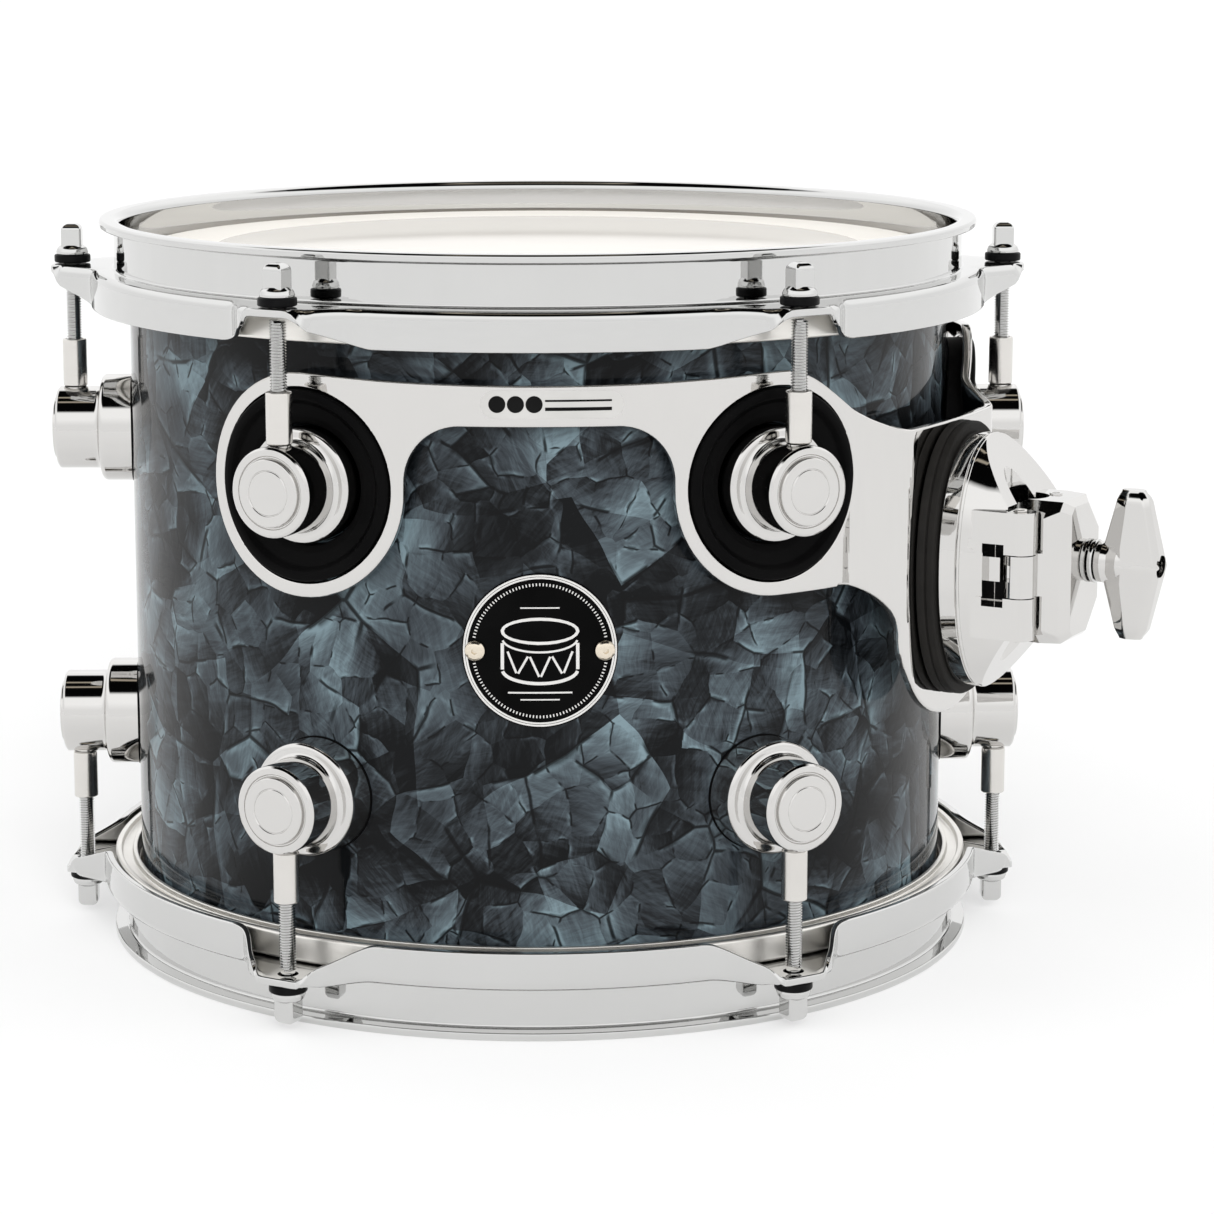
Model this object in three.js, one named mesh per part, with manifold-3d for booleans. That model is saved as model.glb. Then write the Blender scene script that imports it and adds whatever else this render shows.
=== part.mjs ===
// Tom tom drum, nominal 10 in x 8 in, with a suspension bracket and a hinged L-arm clamp.
// Millimetres, +Z up. The origin is the centre of the batter head's playing surface, on the drum's
// axis, so the drum hangs below it. -Y is the front, where the badge is.
//
// A station is a group turned about the drum's axis. Inside it +X points out of the shell (u),
// +Y runs round the shell (t) and +Z is up, so every radial fitting is drawn in (u, t, z).
// The resonant side is the batter side turned half a turn about X.

import * as THREE from 'three';
import { mergeVertices } from 'three/addons/utils/BufferGeometryUtils.js';
import Module from 'manifold-3d';

const wasm = await Module();
wasm.setup();

// ---------------------------------------------------------------- driving dimensions

const GAP = 0.3; // air between two parts that touch on the real drum
const DRUM_DEPTH = 203.2; // over the two heads
const RING_SIDES = 48; // facets of each large ring, a multiple of the six stations

const SHELL_R = 124.4;
const SHELL_WALL = 6.0;
const EDGE_R = 121.0; // where the head bears on the shell
const WRAP_R = 125.4;
const WRAP_THICKNESS = 0.7;
const WRAP_INSET = 6.0; // the wrap stops this far below each head

const HEAD_FILM = 0.5;
const HEAD_R = 126.4; // outside of the head's collar
const HEAD_COLLAR = 12.0;
const FLESH_IN_R = HEAD_R + GAP;
const FLESH_OUT_R = 133.6;
const FLESH_BOTTOM = -16.3;

const SHEET = 2.3; // hoop steel
const HOOP_WALL_R = 129.9;
const HOOP_LIP_R = 134.4;
const HOOP_CREST = 9.5;
const SKIRT_R = 137.0;
const SKIRT_BOTTOM = -17.1;
const STEP_TOP = -5.6; // top of the hoop's outward step, where the rods bear
const EAR_R = 149.5;
const EAR_FLAT = 2.2; // degrees either side of a rod where the ear is flat
const EAR_END = 9.0; // degrees either side of a rod where the ear has become the skirt
const EAR_BENT = 4.6; // degrees from a rod where the sheet is fully bent down
const EAR_HOLE_R = 3.0;

const STATIONS = [-120, -60, 0, 60, 120, 180];
const ROD_CIRCLE_R = 143.4;
const ROD_R = 2.4; // 10-32 thread
const ROD_END = -47.0;
const ROD_HEAD_TOP = 6.5;
const ROD_SQUARE = 6.2;
const WASHER_R = 5.5;
const NUT_TOP = -29.0;
const NUT_BOTTOM = -52.0;
const NUT_BORE_R = 2.75;

const LUG_Z = -56.6;
const LUG_FLANGE_R = 16.5;
const LUG_TURRET_R = 12.7;
const LUG_FLANGE_FACE = 135.2;
const LUG_FACE = 149.8;
const LUG_SEAT = 0.5; // thickness of the gasket under each lug

const BRACKET_AZIMUTH = -30;
const BRACKET_R = 133.5;
const PLATE = 3.0;
const RING_PITCH = BRACKET_R * Math.PI / 3; // arc between two lug stations
const RING_R = 31.8; // plate outside each grommet
const GROMMET_R = 27.2;
const GROMMET_BORE_R = 17.2;
const PAD_U = 139.9; // the flat pad that carries the clamp
const PAD_HALF = 30.4;

const CLAMP_Z = -85.5;
const GASKET_HALF = [27.2, 40.4];
const GASKET_U = [PAD_U + GAP, 145.9];
const SPLIT_U = 165.0; // plane between the clamp's base and its jaw
const ARM_R = 6.6; // clearance for a 12.7 mm L-arm
const ARM_T = -5.0;
const HINGE_U = 169.3;
const HINGE_T = -19.5;
const KNUCKLE_R = 4.5;
const KNUCKLE_ENDS = [-67.0, -79.3, -91.7, -104.0];
const PIN_R = 1.9;
const STUD_T = 8.0;
const STUD_Z = -84.5;
const STUD_R = 3.6;
const JAW_FACE = 180.8;
const WING_END = 203.0;
const WING_HALF = 21.8;

const BADGE_AZIMUTH = -90;
const BADGE_Z = -101.7;
const BADGE_R = 21.95;
const BADGE_OUT_R = 126.7;
const BADGE_SCREW_ANGLE = 8.2; // degrees either side of the badge's centre

// ---------------------------------------------------------------- materials

function material(color, roughness, metalness) {
  return new THREE.MeshStandardMaterial({ color, roughness, metalness, flatShading: true });
}

const chrome = material(0xdfe2e4, 0.08, 1.0);
const satinNickel = material(0xc9c4bb, 0.32, 1.0);
const aluminium = material(0xb9bcc0, 0.4, 1.0);
const rubber = material(0x17181a, 0.75, 0.0);
const pearl = material(0x27333f, 0.2, 0.1);
const maple = material(0xc79a62, 0.5, 0.0);
const film = material(0xefebe4, 0.35, 0.0);
const badgeBlack = material(0x0c0c0d, 0.25, 0.3);

// ---------------------------------------------------------------- solids

function radians(degrees) {
  return degrees * Math.PI / 180;
}

// 0 below start, 1 above end, level at both.
function smoothStep(start, end, value) {
  const x = Math.min(Math.max((value - start) / (end - start), 0), 1);
  return x * x * (3 - 2 * x);
}

function mix(a, b, share) {
  return a + (b - a) * share;
}

function solidOf(geometry) {
  const bare = geometry.clone();
  bare.deleteAttribute('normal');
  bare.deleteAttribute('uv');
  const merged = mergeVertices(bare, 1e-4);
  return new wasm.Manifold(new wasm.Mesh({
    numProp: 3,
    vertProperties: new Float32Array(merged.attributes.position.array),
    triVerts: new Uint32Array(merged.index.array),
  }));
}

function geometryOf(solid) {
  const mesh = solid.getMesh();
  const geometry = new THREE.BufferGeometry();
  geometry.setAttribute('position', new THREE.BufferAttribute(new Float32Array(mesh.vertProperties), 3));
  geometry.setIndex(new THREE.BufferAttribute(new Uint32Array(mesh.triVerts), 1));
  geometry.computeVertexNormals();
  return geometry;
}

// A solid of revolution about Z from [radius, height] pairs, which run up the outside.
function turned(profile, sides) {
  const points = profile.map(([r, z]) => new THREE.Vector2(r, z));
  return new THREE.LatheGeometry(points, sides).rotateX(Math.PI / 2);
}

// The same about the station's X axis: the pairs are [radius, u].
function turnedRadially(profile, sides) {
  return turned(profile, sides).rotateY(Math.PI / 2);
}

function rod(radius, bottom, top, sides) {
  return turned([[0, bottom], [radius, bottom], [radius, top], [0, top]], sides);
}

// A solid rod along the station's X axis.
function radialRod(radius, inner, outer, sides) {
  return turnedRadially([[0, inner], [radius, inner], [radius, outer], [0, outer]], sides);
}

function block(uRange, tRange, zRange) {
  const size = [uRange, tRange, zRange].map(([low, high]) => high - low);
  const centre = [uRange, tRange, zRange].map(([low, high]) => (low + high) / 2);
  return new THREE.BoxGeometry(...size).translate(...centre);
}

// Joins equal loops of [x, y, z] points in order. A closed run meets its own start; an open one is
// capped by a fan at each end. Each loop runs clockwise as seen looking along the run.
function lofted(loops, closedRun) {
  const count = loops[0].length;
  const positions = loops.flat(2);
  const indices = [];
  const runs = closedRun ? loops.length : loops.length - 1;
  for (let i = 0; i < runs; i += 1) {
    const near = i * count;
    const far = ((i + 1) % loops.length) * count;
    for (let j = 0; j < count; j += 1) {
      const k = (j + 1) % count;
      indices.push(near + j, far + k, far + j);
      indices.push(near + j, near + k, far + k);
    }
  }
  if (!closedRun) {
    const last = (loops.length - 1) * count;
    for (let j = 1; j < count - 1; j += 1) {
      indices.push(0, j + 1, j);
      indices.push(last, last + j, last + j + 1);
    }
  }
  const geometry = new THREE.BufferGeometry();
  geometry.setAttribute('position', new THREE.BufferAttribute(new Float32Array(positions), 3));
  geometry.setIndex(indices);
  geometry.computeVertexNormals();
  return geometry;
}

const model = new THREE.Group();

function addPart(parent, name, geometry, look) {
  const mesh = new THREE.Mesh(geometry, look);
  mesh.name = name;
  parent.add(mesh);
}

function station(parent, azimuth) {
  const group = new THREE.Group();
  group.rotation.z = radians(azimuth);
  parent.add(group);
  return group;
}

// ---------------------------------------------------------------- shell, wrap and badge

function screwHoles(innerR, outerR) {
  const holes = [-BADGE_SCREW_ANGLE, BADGE_SCREW_ANGLE].map((angle) => {
    const hole = radialRod(1.7, innerR, outerR, 10);
    return solidOf(hole.rotateZ(radians(BADGE_AZIMUTH + angle)).translate(0, 0, BADGE_Z));
  });
  return holes[0].add(holes[1]);
}

function shellGeometry() {
  const insideR = SHELL_R - SHELL_WALL;
  const edge = HEAD_FILM + GAP;
  const upperHalf = [
    [SHELL_R, -4.0],
    [EDGE_R + 2.6, -edge - 1.5],
    [EDGE_R, -edge],
    [insideR, -edge - 2.8],
  ];
  const lowerHalf = upperHalf.map(([r, z]) => [r, -DRUM_DEPTH - z]).reverse();
  const profile = [...lowerHalf, ...upperHalf, lowerHalf[0]];
  return geometryOf(solidOf(turned(profile, RING_SIDES)).subtract(screwHoles(110, 130)));
}

function tubeWall(innerR, outerR, bottom, top) {
  const profile = [[innerR, bottom], [outerR, bottom], [outerR, top], [innerR, top], [innerR, bottom]];
  return turned(profile, RING_SIDES);
}

function wrapGeometry() {
  const wall = tubeWall(WRAP_R - WRAP_THICKNESS, WRAP_R, -DRUM_DEPTH + WRAP_INSET, -WRAP_INSET);
  return geometryOf(solidOf(wall).subtract(screwHoles(120, 130)));
}

function badgeGeometry() {
  const wall = tubeWall(WRAP_R + GAP, BADGE_OUT_R, BADGE_Z - 25, BADGE_Z + 25);
  const disc = radialRod(BADGE_R, 110, 135, 28).rotateZ(radians(BADGE_AZIMUTH)).translate(0, 0, BADGE_Z);
  return geometryOf(solidOf(wall).intersect(solidOf(disc)).subtract(screwHoles(120, 130)));
}

function badgeScrewGeometry() {
  const seat = BADGE_OUT_R + GAP;
  const tip = SHELL_R - SHELL_WALL - 0.9;
  const profile = [
    [0, tip],
    [1.3, tip],
    [1.3, seat],
    [2.95, seat],
    [2.7, seat + 1.0],
    [1.6, seat + 1.6],
    [0, seat + 1.6],
  ];
  return turnedRadially(profile, 12).translate(0, 0, BADGE_Z);
}

// ---------------------------------------------------------------- heads and hoops

function filmGeometry() {
  const profile = [
    [0, -HEAD_FILM],
    [EDGE_R + 0.3, -HEAD_FILM],
    [EDGE_R + 3.2, -2.1],
    [HEAD_R - HEAD_FILM, -5.2],
    [HEAD_R - HEAD_FILM, -HEAD_COLLAR],
    [HEAD_R, -HEAD_COLLAR],
    [HEAD_R, -5.0],
    [EDGE_R + 3.6, -1.6],
    [EDGE_R + 0.5, 0],
    [0, 0],
  ];
  return turned(profile, RING_SIDES);
}

function fleshHoopGeometry() {
  const top = STEP_TOP - SHEET - GAP;
  const profile = [
    [FLESH_IN_R, FLESH_BOTTOM],
    [FLESH_OUT_R, FLESH_BOTTOM],
    [FLESH_OUT_R, top - 1],
    [FLESH_OUT_R - 1, top],
    [FLESH_IN_R, top],
    [FLESH_IN_R, FLESH_BOTTOM],
  ];
  return turned(profile, RING_SIDES);
}

// The hoop's section, [radius, height] pairs, at an angle in degrees from the nearest rod. The step
// turns down through a bend that is square along the skirt and flat at an ear.
function hoopSection(angle) {
  const off = Math.abs(angle);
  const reach = mix(EAR_R, SKIRT_R, smoothStep(EAR_FLAT, EAR_END - 0.8, off));
  const bend = smoothStep(EAR_FLAT, EAR_BENT, off) * Math.PI / 2;
  const outerBend = SHEET + 0.35;
  const innerBend = 0.35;
  const drop = STEP_TOP - outerBend - SKIRT_BOTTOM;
  const length = mix(outerBend, drop, smoothStep(EAR_FLAT + 0.4, EAR_END, off));
  const overhang = outerBend * Math.sin(bend) + length * Math.cos(bend);
  const centre = [reach - overhang, STEP_TOP - outerBend];
  const onBend = (radius, turn, along) => [
    centre[0] + radius * Math.sin(turn) + along * Math.cos(turn),
    centre[1] + radius * Math.cos(turn) - along * Math.sin(turn),
  ];
  return [
    [HOOP_WALL_R - SHEET, HOOP_CREST - 1.9],
    [HOOP_WALL_R - 1.3, HOOP_CREST - 0.4],
    [HOOP_WALL_R + 0.5, HOOP_CREST],
    [HOOP_LIP_R - 1.6, HOOP_CREST],
    [HOOP_LIP_R, HOOP_CREST - 1.1],
    [HOOP_LIP_R - 1.0, HOOP_CREST - SHEET],
    [HOOP_WALL_R, HOOP_CREST - 2.9],
    [HOOP_WALL_R, STEP_TOP + 1.0],
    [HOOP_WALL_R + 1.0, STEP_TOP],
    onBend(outerBend, bend / 2, 0),
    onBend(outerBend, bend, 0.2),
    onBend(outerBend, bend, length),
    onBend(innerBend, bend, length),
    onBend(innerBend, bend, 0.1),
    onBend(innerBend, 0, -0.1),
    [HOOP_WALL_R - SHEET, STEP_TOP - SHEET],
  ];
}

function hoopGeometry() {
  const flank = [EAR_FLAT, 3.2, 4.2, 5.6, 7.2, EAR_END, 20];
  const offsets = [-30, ...flank.map((offset) => -offset).reverse(), ...flank];
  const loops = STATIONS.flatMap((azimuth) => offsets.map((offset) => {
    const angle = radians(azimuth + offset);
    return hoopSection(offset).map(([r, z]) => [r * Math.cos(angle), r * Math.sin(angle), z]);
  }));
  let hoop = solidOf(lofted(loops, true));
  for (const azimuth of STATIONS) {
    const hole = rod(EAR_HOLE_R, STEP_TOP - 5, STEP_TOP + 5, 10);
    hoop = hoop.subtract(solidOf(hole.translate(ROD_CIRCLE_R, 0, 0).rotateZ(radians(azimuth))));
  }
  return geometryOf(hoop);
}

// ---------------------------------------------------------------- lugs, nuts and tension rods

function lugGeometry() {
  const profile = [
    [0, SHELL_R - 4],
    [LUG_FLANGE_R, SHELL_R - 4],
    [LUG_FLANGE_R, LUG_FLANGE_FACE - 1.5],
    [LUG_FLANGE_R - 1.5, LUG_FLANGE_FACE],
    [LUG_TURRET_R, LUG_FLANGE_FACE],
    [LUG_TURRET_R, LUG_FACE - 2.2],
    [LUG_TURRET_R - 0.8, LUG_FACE - 1.4],
    [10.0, LUG_FACE - 1.2],
    [9.6, LUG_FACE],
    [0, LUG_FACE],
  ];
  const body = solidOf(turnedRadially(profile, 12).translate(0, 0, LUG_Z));
  const seat = solidOf(rod(WRAP_R + LUG_SEAT, LUG_Z - 30, LUG_Z + 30, RING_SIDES));
  const nutPocket = [
    [0, NUT_BOTTOM - 2],
    [4.8, NUT_BOTTOM - 2],
    [4.8, NUT_BOTTOM + 3.1],
    [3.4, NUT_BOTTOM + 3.1],
    [3.4, LUG_Z + 20],
    [0, LUG_Z + 20],
  ];
  const pocket = solidOf(turned(nutPocket, 8).translate(ROD_CIRCLE_R, 0, 0));
  return geometryOf(body.subtract(seat).subtract(pocket));
}

function swivelNutGeometry() {
  const profile = [
    [NUT_BORE_R, NUT_BOTTOM],
    [4.4, NUT_BOTTOM],
    [4.4, NUT_BOTTOM + 2.8],
    [3.05, NUT_BOTTOM + 2.8],
    [3.05, LUG_Z + LUG_TURRET_R + 1],
    [3.7, LUG_Z + LUG_TURRET_R + 4],
    [3.7, NUT_TOP],
    [NUT_BORE_R, NUT_TOP],
    [NUT_BORE_R, NUT_BOTTOM],
  ];
  return turned(profile, 8).translate(ROD_CIRCLE_R, 0, 0);
}

function tensionRodGeometry() {
  const washerBottom = STEP_TOP + GAP;
  const washerTop = washerBottom + 2.4;
  const profile = [
    [0, ROD_END],
    [ROD_R, ROD_END],
    [ROD_R, washerBottom],
    [WASHER_R, washerBottom],
    [WASHER_R, washerTop],
    [4.9, washerTop + 1.5],
    [2.8, washerTop + 3.4],
    [0, washerTop + 3.4],
  ];
  const corner = ROD_SQUARE / Math.SQRT2;
  const headProfile = [
    [0, washerTop],
    [corner, washerTop],
    [corner, ROD_HEAD_TOP - 1],
    [corner - 1.2, ROD_HEAD_TOP],
    [0, ROD_HEAD_TOP],
  ];
  const shank = solidOf(turned(profile, 8));
  const head = solidOf(turned(headProfile, 4).rotateZ(Math.PI / 4));
  return geometryOf(shank.add(head)).translate(ROD_CIRCLE_R, 0, 0);
}

// One side of the drum: head, flesh hoop and hoop, and a lug, nut and rod at each station.
function buildSide(parent, side, level) {
  addPart(parent, `${side}_head_film`, filmGeometry(), film);
  addPart(parent, `${side}_flesh_hoop`, fleshHoopGeometry(), aluminium);
  addPart(parent, `${side}_hoop`, hoopGeometry(), chrome);
  const lug = lugGeometry();
  const nut = swivelNutGeometry();
  const tensionRod = tensionRodGeometry();
  STATIONS.forEach((azimuth, index) => {
    const here = station(parent, azimuth);
    addPart(here, `${level}_lug_${index + 1}`, lug, chrome);
    addPart(here, `${level}_swivel_nut_${index + 1}`, nut, satinNickel);
    addPart(here, `${level}_tension_rod_${index + 1}`, tensionRod, chrome);
  });
}

// ---------------------------------------------------------------- suspension bracket

const ARCH_TOP = -38.0;
const ARCH_FILLET = 16.2;
const ARCH_FILLET_Z = ARCH_TOP - ARCH_FILLET;
const ARCH_FILLET_RUN = Math.sqrt((RING_R + ARCH_FILLET) ** 2 - (LUG_Z - ARCH_FILLET_Z) ** 2);
const NEAR_RING = RING_PITCH / 2;
const FAR_RING = RING_PITCH * 1.5;
const BAND_MIDDLE = RING_PITCH;
const PAD_FILLET = 17.0;
const PAD_FILLET_Z = -105.0;
const PAD_BOTTOM_Z = -105.0; // where the pad's round lower end starts
const PAD_ROUND = 0.885; // depth of that end against half its width

// Half the height of a circle at a distance from its centre.
function chord(radius, distance) {
  return Math.sqrt(Math.max(radius ** 2 - distance ** 2, 0));
}

// The plate's upper edge at an arc distance from the clamp.
function plateTop(arc) {
  const valley = -44.4;
  if (arc > FAR_RING) return LUG_Z + chord(RING_R, arc - FAR_RING);
  if (arc > NEAR_RING) {
    const sag = 1 - ((arc - BAND_MIDDLE) / (RING_PITCH / 2)) ** 2;
    return LUG_Z + RING_R - 1.7 * sag;
  }
  if (arc > 26) return mix(valley, LUG_Z + RING_R, smoothStep(26, 67, arc));
  return valley - 0.5 * (1 - (arc / 26) ** 2);
}

// The plate's lower edge: round the rings, over the arch between them and round the clamp's pad.
function plateBottom(arc) {
  if (arc > FAR_RING - RING_R) return LUG_Z - chord(RING_R, arc - FAR_RING);
  const fromMiddle = Math.abs(arc - BAND_MIDDLE);
  const archHalf = RING_PITCH / 2 - ARCH_FILLET_RUN;
  if (fromMiddle < archHalf) return ARCH_TOP;
  if (arc > NEAR_RING + RING_R) return ARCH_FILLET_Z + chord(ARCH_FILLET, fromMiddle - archHalf);
  if (arc > NEAR_RING) return LUG_Z - chord(RING_R, arc - NEAR_RING);
  if (arc > PAD_HALF + PAD_FILLET) return LUG_Z - RING_R;
  if (arc > PAD_HALF) return PAD_FILLET_Z + chord(PAD_FILLET, arc - PAD_HALF - PAD_FILLET);
  return PAD_BOTTOM_Z - PAD_ROUND * chord(PAD_HALF, arc);
}

// Outside radius of the plate at an angle from the clamp: round the shell, but flat at the pad.
function plateRadius(angle) {
  const flat = PAD_U / Math.cos(Math.min(angle, radians(30)));
  return mix(flat, BRACKET_R, smoothStep(radians(11), radians(18.3), angle));
}

// Arc distances where the plate's edges need a point: evenly round every arc.
function plateColumns() {
  const columns = [0, 13, 20, 26, 40, 45, 50, 55, 61, 84, 93, 124, BAND_MIDDLE, 154, 186, 195];
  const arcs = [
    [0, PAD_HALF, [30, 50, 70, 90]],
    [PAD_HALF + PAD_FILLET, -PAD_FILLET, [0, 20, 40, 60, 80, 89]],
    [NEAR_RING, RING_R, [0, 25, 50, 70, 82, 89]],
    [NEAR_RING + ARCH_FILLET_RUN, -ARCH_FILLET, [0, 25, 50, 70, 84]],
    [FAR_RING - ARCH_FILLET_RUN, ARCH_FILLET, [0, 25, 50, 70, 84]],
    [FAR_RING, -RING_R, [50, 70, 82, 89]],
    [FAR_RING, RING_R, [0, 25, 50, 70, 82, 88]],
  ];
  for (const [centre, radius, angles] of arcs) {
    angles.forEach((angle) => columns.push(centre + radius * Math.sin(radians(angle))));
  }
  columns.sort((a, b) => a - b);
  const apart = columns.filter((arc, i) => i === 0 || arc - columns[i - 1] > 0.2);
  return [...apart.slice(1).reverse().map((arc) => -arc), ...apart];
}

function bracketGeometry() {
  const loops = plateColumns().map((arc) => {
    const reach = Math.abs(arc);
    const angle = arc / BRACKET_R;
    const outer = plateRadius(Math.abs(angle));
    const inner = outer - PLATE;
    const top = plateTop(reach);
    const bottom = plateBottom(reach);
    const corners = [[inner, top], [outer, top], [outer, bottom], [inner, bottom]];
    return corners.map(([r, z]) => [r * Math.cos(angle), r * Math.sin(angle), z]);
  });
  let plate = solidOf(lofted(loops, false));
  for (const azimuth of [-90, -30, 30, 90]) {
    const hole = radialRod(GROMMET_R + GAP, 110, 150, 28).translate(0, 0, LUG_Z);
    plate = plate.subtract(solidOf(hole.rotateZ(radians(azimuth))));
  }
  return geometryOf(plate);
}

function grommetGeometry() {
  const ring = [
    [GROMMET_BORE_R, 110],
    [GROMMET_R, 110],
    [GROMMET_R, 145],
    [GROMMET_BORE_R, 145],
    [GROMMET_BORE_R, 110],
  ];
  const sleeve = solidOf(turnedRadially(ring, 20).translate(0, 0, LUG_Z));
  const wall = solidOf(tubeWall(WRAP_R + 0.8, BRACKET_R + 1.2, LUG_Z - 30, LUG_Z + 30));
  // The wall goes all round, so a block keeps the half on this side of the shell.
  const nearSide = solidOf(block([90, 150], [-40, 40], [LUG_Z - 35, LUG_Z + 35]));
  return geometryOf(sleeve.intersect(wall).intersect(nearSide));
}

// ---------------------------------------------------------------- L-arm clamp

// A loop round the station's X axis at a given u: an oval, or squarer as the power rises.
function oval(u, halfT, halfZ, power, centreT = 0) {
  const sides = 20;
  return Array.from({ length: sides }, (_, i) => {
    const angle = 2 * Math.PI * i / sides;
    const round = (value) => Math.sign(value) * Math.abs(value) ** (2 / power);
    return [u, centreT + halfT * round(Math.cos(angle)), CLAMP_Z + halfZ * round(Math.sin(angle))];
  });
}

function clampGasketGeometry() {
  const [halfT, halfZ] = GASKET_HALF;
  const [inner, outer] = GASKET_U;
  const loops = [
    oval(inner, halfT, halfZ, 2.2),
    oval(outer - 1, halfT, halfZ, 2.2),
    oval(outer, halfT - 1, halfZ - 1, 2.2),
  ];
  return lofted(loops, false);
}

function knuckle(bottom, top) {
  const barrel = rod(KNUCKLE_R, bottom, top, 14).translate(HINGE_U, HINGE_T, 0);
  return solidOf(barrel);
}

function pinHole() {
  return solidOf(rod(PIN_R + GAP, -120, -50, 12).translate(HINGE_U, HINGE_T, 0));
}

function armPassage() {
  return solidOf(rod(ARM_R, -140, -30, 18).translate(SPLIT_U, ARM_T, 0));
}

function clampBaseGeometry() {
  const foot = GASKET_U[1] + GAP;
  const front = SPLIT_U - GAP / 2;
  const loops = [
    oval(foot, 25.2, 37.4, 2.2),
    oval(foot + 5.8, 25.2, 37.4, 2.2),
    oval(foot + 6.8, 24.8, 36.6, 2.2),
    oval(156, 24.2, 32.4, 2.5),
    oval(159.4, 23.2, 27.8, 2.9),
    oval(162, 22.2, 24.0, 3.4),
    oval(front, 21.0, 19.8, 4.2),
  ];
  const [top, upper, lower, bottom] = KNUCKLE_ENDS;
  let base = solidOf(lofted(loops, false));
  const webs = [[upper + GAP / 2, top], [bottom, lower - GAP / 2]];
  for (const [low, high] of webs) {
    const web = block([156, HINGE_U], [HINGE_T - KNUCKLE_R + 0.4, HINGE_T + 3.5], [low, high]);
    base = base.add(knuckle(low, high)).add(solidOf(web));
  }
  const jawRoom = rod(KNUCKLE_R + 0.6, lower - GAP / 2, upper + GAP / 2, 14);
  const studBore = radialRod(STUD_R + GAP, 148, 180, 12).translate(0, STUD_T, STUD_Z);
  const window = block([159.4, SPLIT_U + 1], [-30, -14], [lower - 2.8, upper + 3.0]);
  return geometryOf(base
    .subtract(solidOf(window))
    .subtract(solidOf(jawRoom.translate(HINGE_U, HINGE_T, 0)))
    .subtract(solidOf(block([SPLIT_U - 3, 175], [-30, -15.4], [lower - GAP / 2, upper + GAP / 2])))
    .subtract(armPassage())
    .subtract(solidOf(studBore))
    .subtract(pinHole()));
}

// An octagon at a given u between two t limits, about the clamp's middle height. Its corners
// are cut by one amount at the high limit and another at the low one.
function octagon(u, lowT, highT, halfZ, highCut, lowCut) {
  const corners = [
    [highT, halfZ - highCut],
    [highT - highCut, halfZ],
    [lowT + lowCut, halfZ],
    [lowT, halfZ - lowCut],
    [lowT, lowCut - halfZ],
    [lowT + lowCut, -halfZ],
    [highT - highCut, -halfZ],
    [highT, highCut - halfZ],
  ];
  return corners.map(([t, z]) => [u, t, CLAMP_Z + z]);
}

function clampJawGeometry() {
  const back = SPLIT_U + GAP / 2;
  const loops = [
    octagon(back, -17.5, 16.5, 20.8, 8, 7),
    octagon(172.5, -17, 16.5, 20.8, 8, 5.5),
    octagon(178.6, -13, 15.5, 20.6, 8.5, 2.5),
    octagon(JAW_FACE, -9, 12, 18.8, 8.5, 2),
  ];
  const [top, upper, lower, bottom] = KNUCKLE_ENDS;
  const low = lower + GAP / 2;
  const high = upper - GAP / 2;
  let jaw = solidOf(lofted(loops, false)).add(knuckle(low, high));
  jaw = jaw.add(solidOf(block([HINGE_U - 3, HINGE_U + 4.2], [HINGE_T, -12], [low, high])));
  const baseRooms = [[upper, top + GAP], [bottom - GAP, lower]];
  const roomReach = KNUCKLE_R + 0.8;
  for (const room of baseRooms) {
    jaw = jaw.subtract(solidOf(block([160, HINGE_U + roomReach], [-30, HINGE_T + roomReach], room)));
  }
  const slotSides = [STUD_T - STUD_R - 0.6, STUD_T + STUD_R + 3.0];
  const slot = block([160, 184], slotSides, [STUD_Z - 4.1, STUD_Z + 4.1]);
  return geometryOf(jaw.subtract(armPassage()).subtract(solidOf(slot)).subtract(pinHole()));
}

function washerGeometry() {
  const inner = JAW_FACE + GAP;
  const outer = inner + 1.5;
  const profile = [[4.1, inner], [6.4, inner], [6.4, outer], [4.1, outer], [4.1, inner]];
  return turnedRadially(profile, 16).translate(0, STUD_T, STUD_Z);
}

// The wing nut: a hub about the stud and two wings, drawn as slices up the wings.
function wingNutGeometry() {
  const hubInner = JAW_FACE + GAP + 1.5 + GAP;
  const slices = [
    [-1, 187.6, 198.0, 2.4],
    [-0.9, 186.6, 199.6, 3.8],
    [-0.45, 185.6, 201.3, 5.0],
    [0, 184.8, WING_END, 6.2],
    [0.45, 185.6, 201.3, 5.0],
    [0.9, 186.6, 199.6, 3.8],
    [1, 187.6, 198.0, 2.4],
  ];
  const loops = slices.map(([share, inner, outer, halfT]) => {
    const middle = (inner + outer) / 2;
    const halfU = (outer - inner) / 2;
    const level = STUD_Z + share * WING_HALF;
    return Array.from({ length: 12 }, (_, i) => {
      const angle = 2 * Math.PI * i / 12;
      const along = Math.sign(Math.cos(angle)) * Math.sqrt(Math.abs(Math.cos(angle)));
      const across = Math.sign(Math.sin(angle)) * Math.sqrt(Math.abs(Math.sin(angle)));
      return [middle + halfU * along, STUD_T + halfT * across, level];
    });
  });
  const hub = radialRod(6.2, hubInner, 192, 16).translate(0, STUD_T, STUD_Z);
  const bore = radialRod(STUD_R + 0.4, 170, 210, 12).translate(0, STUD_T, STUD_Z);
  return geometryOf(solidOf(lofted(loops, false)).add(solidOf(hub)).subtract(solidOf(bore)));
}

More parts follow.
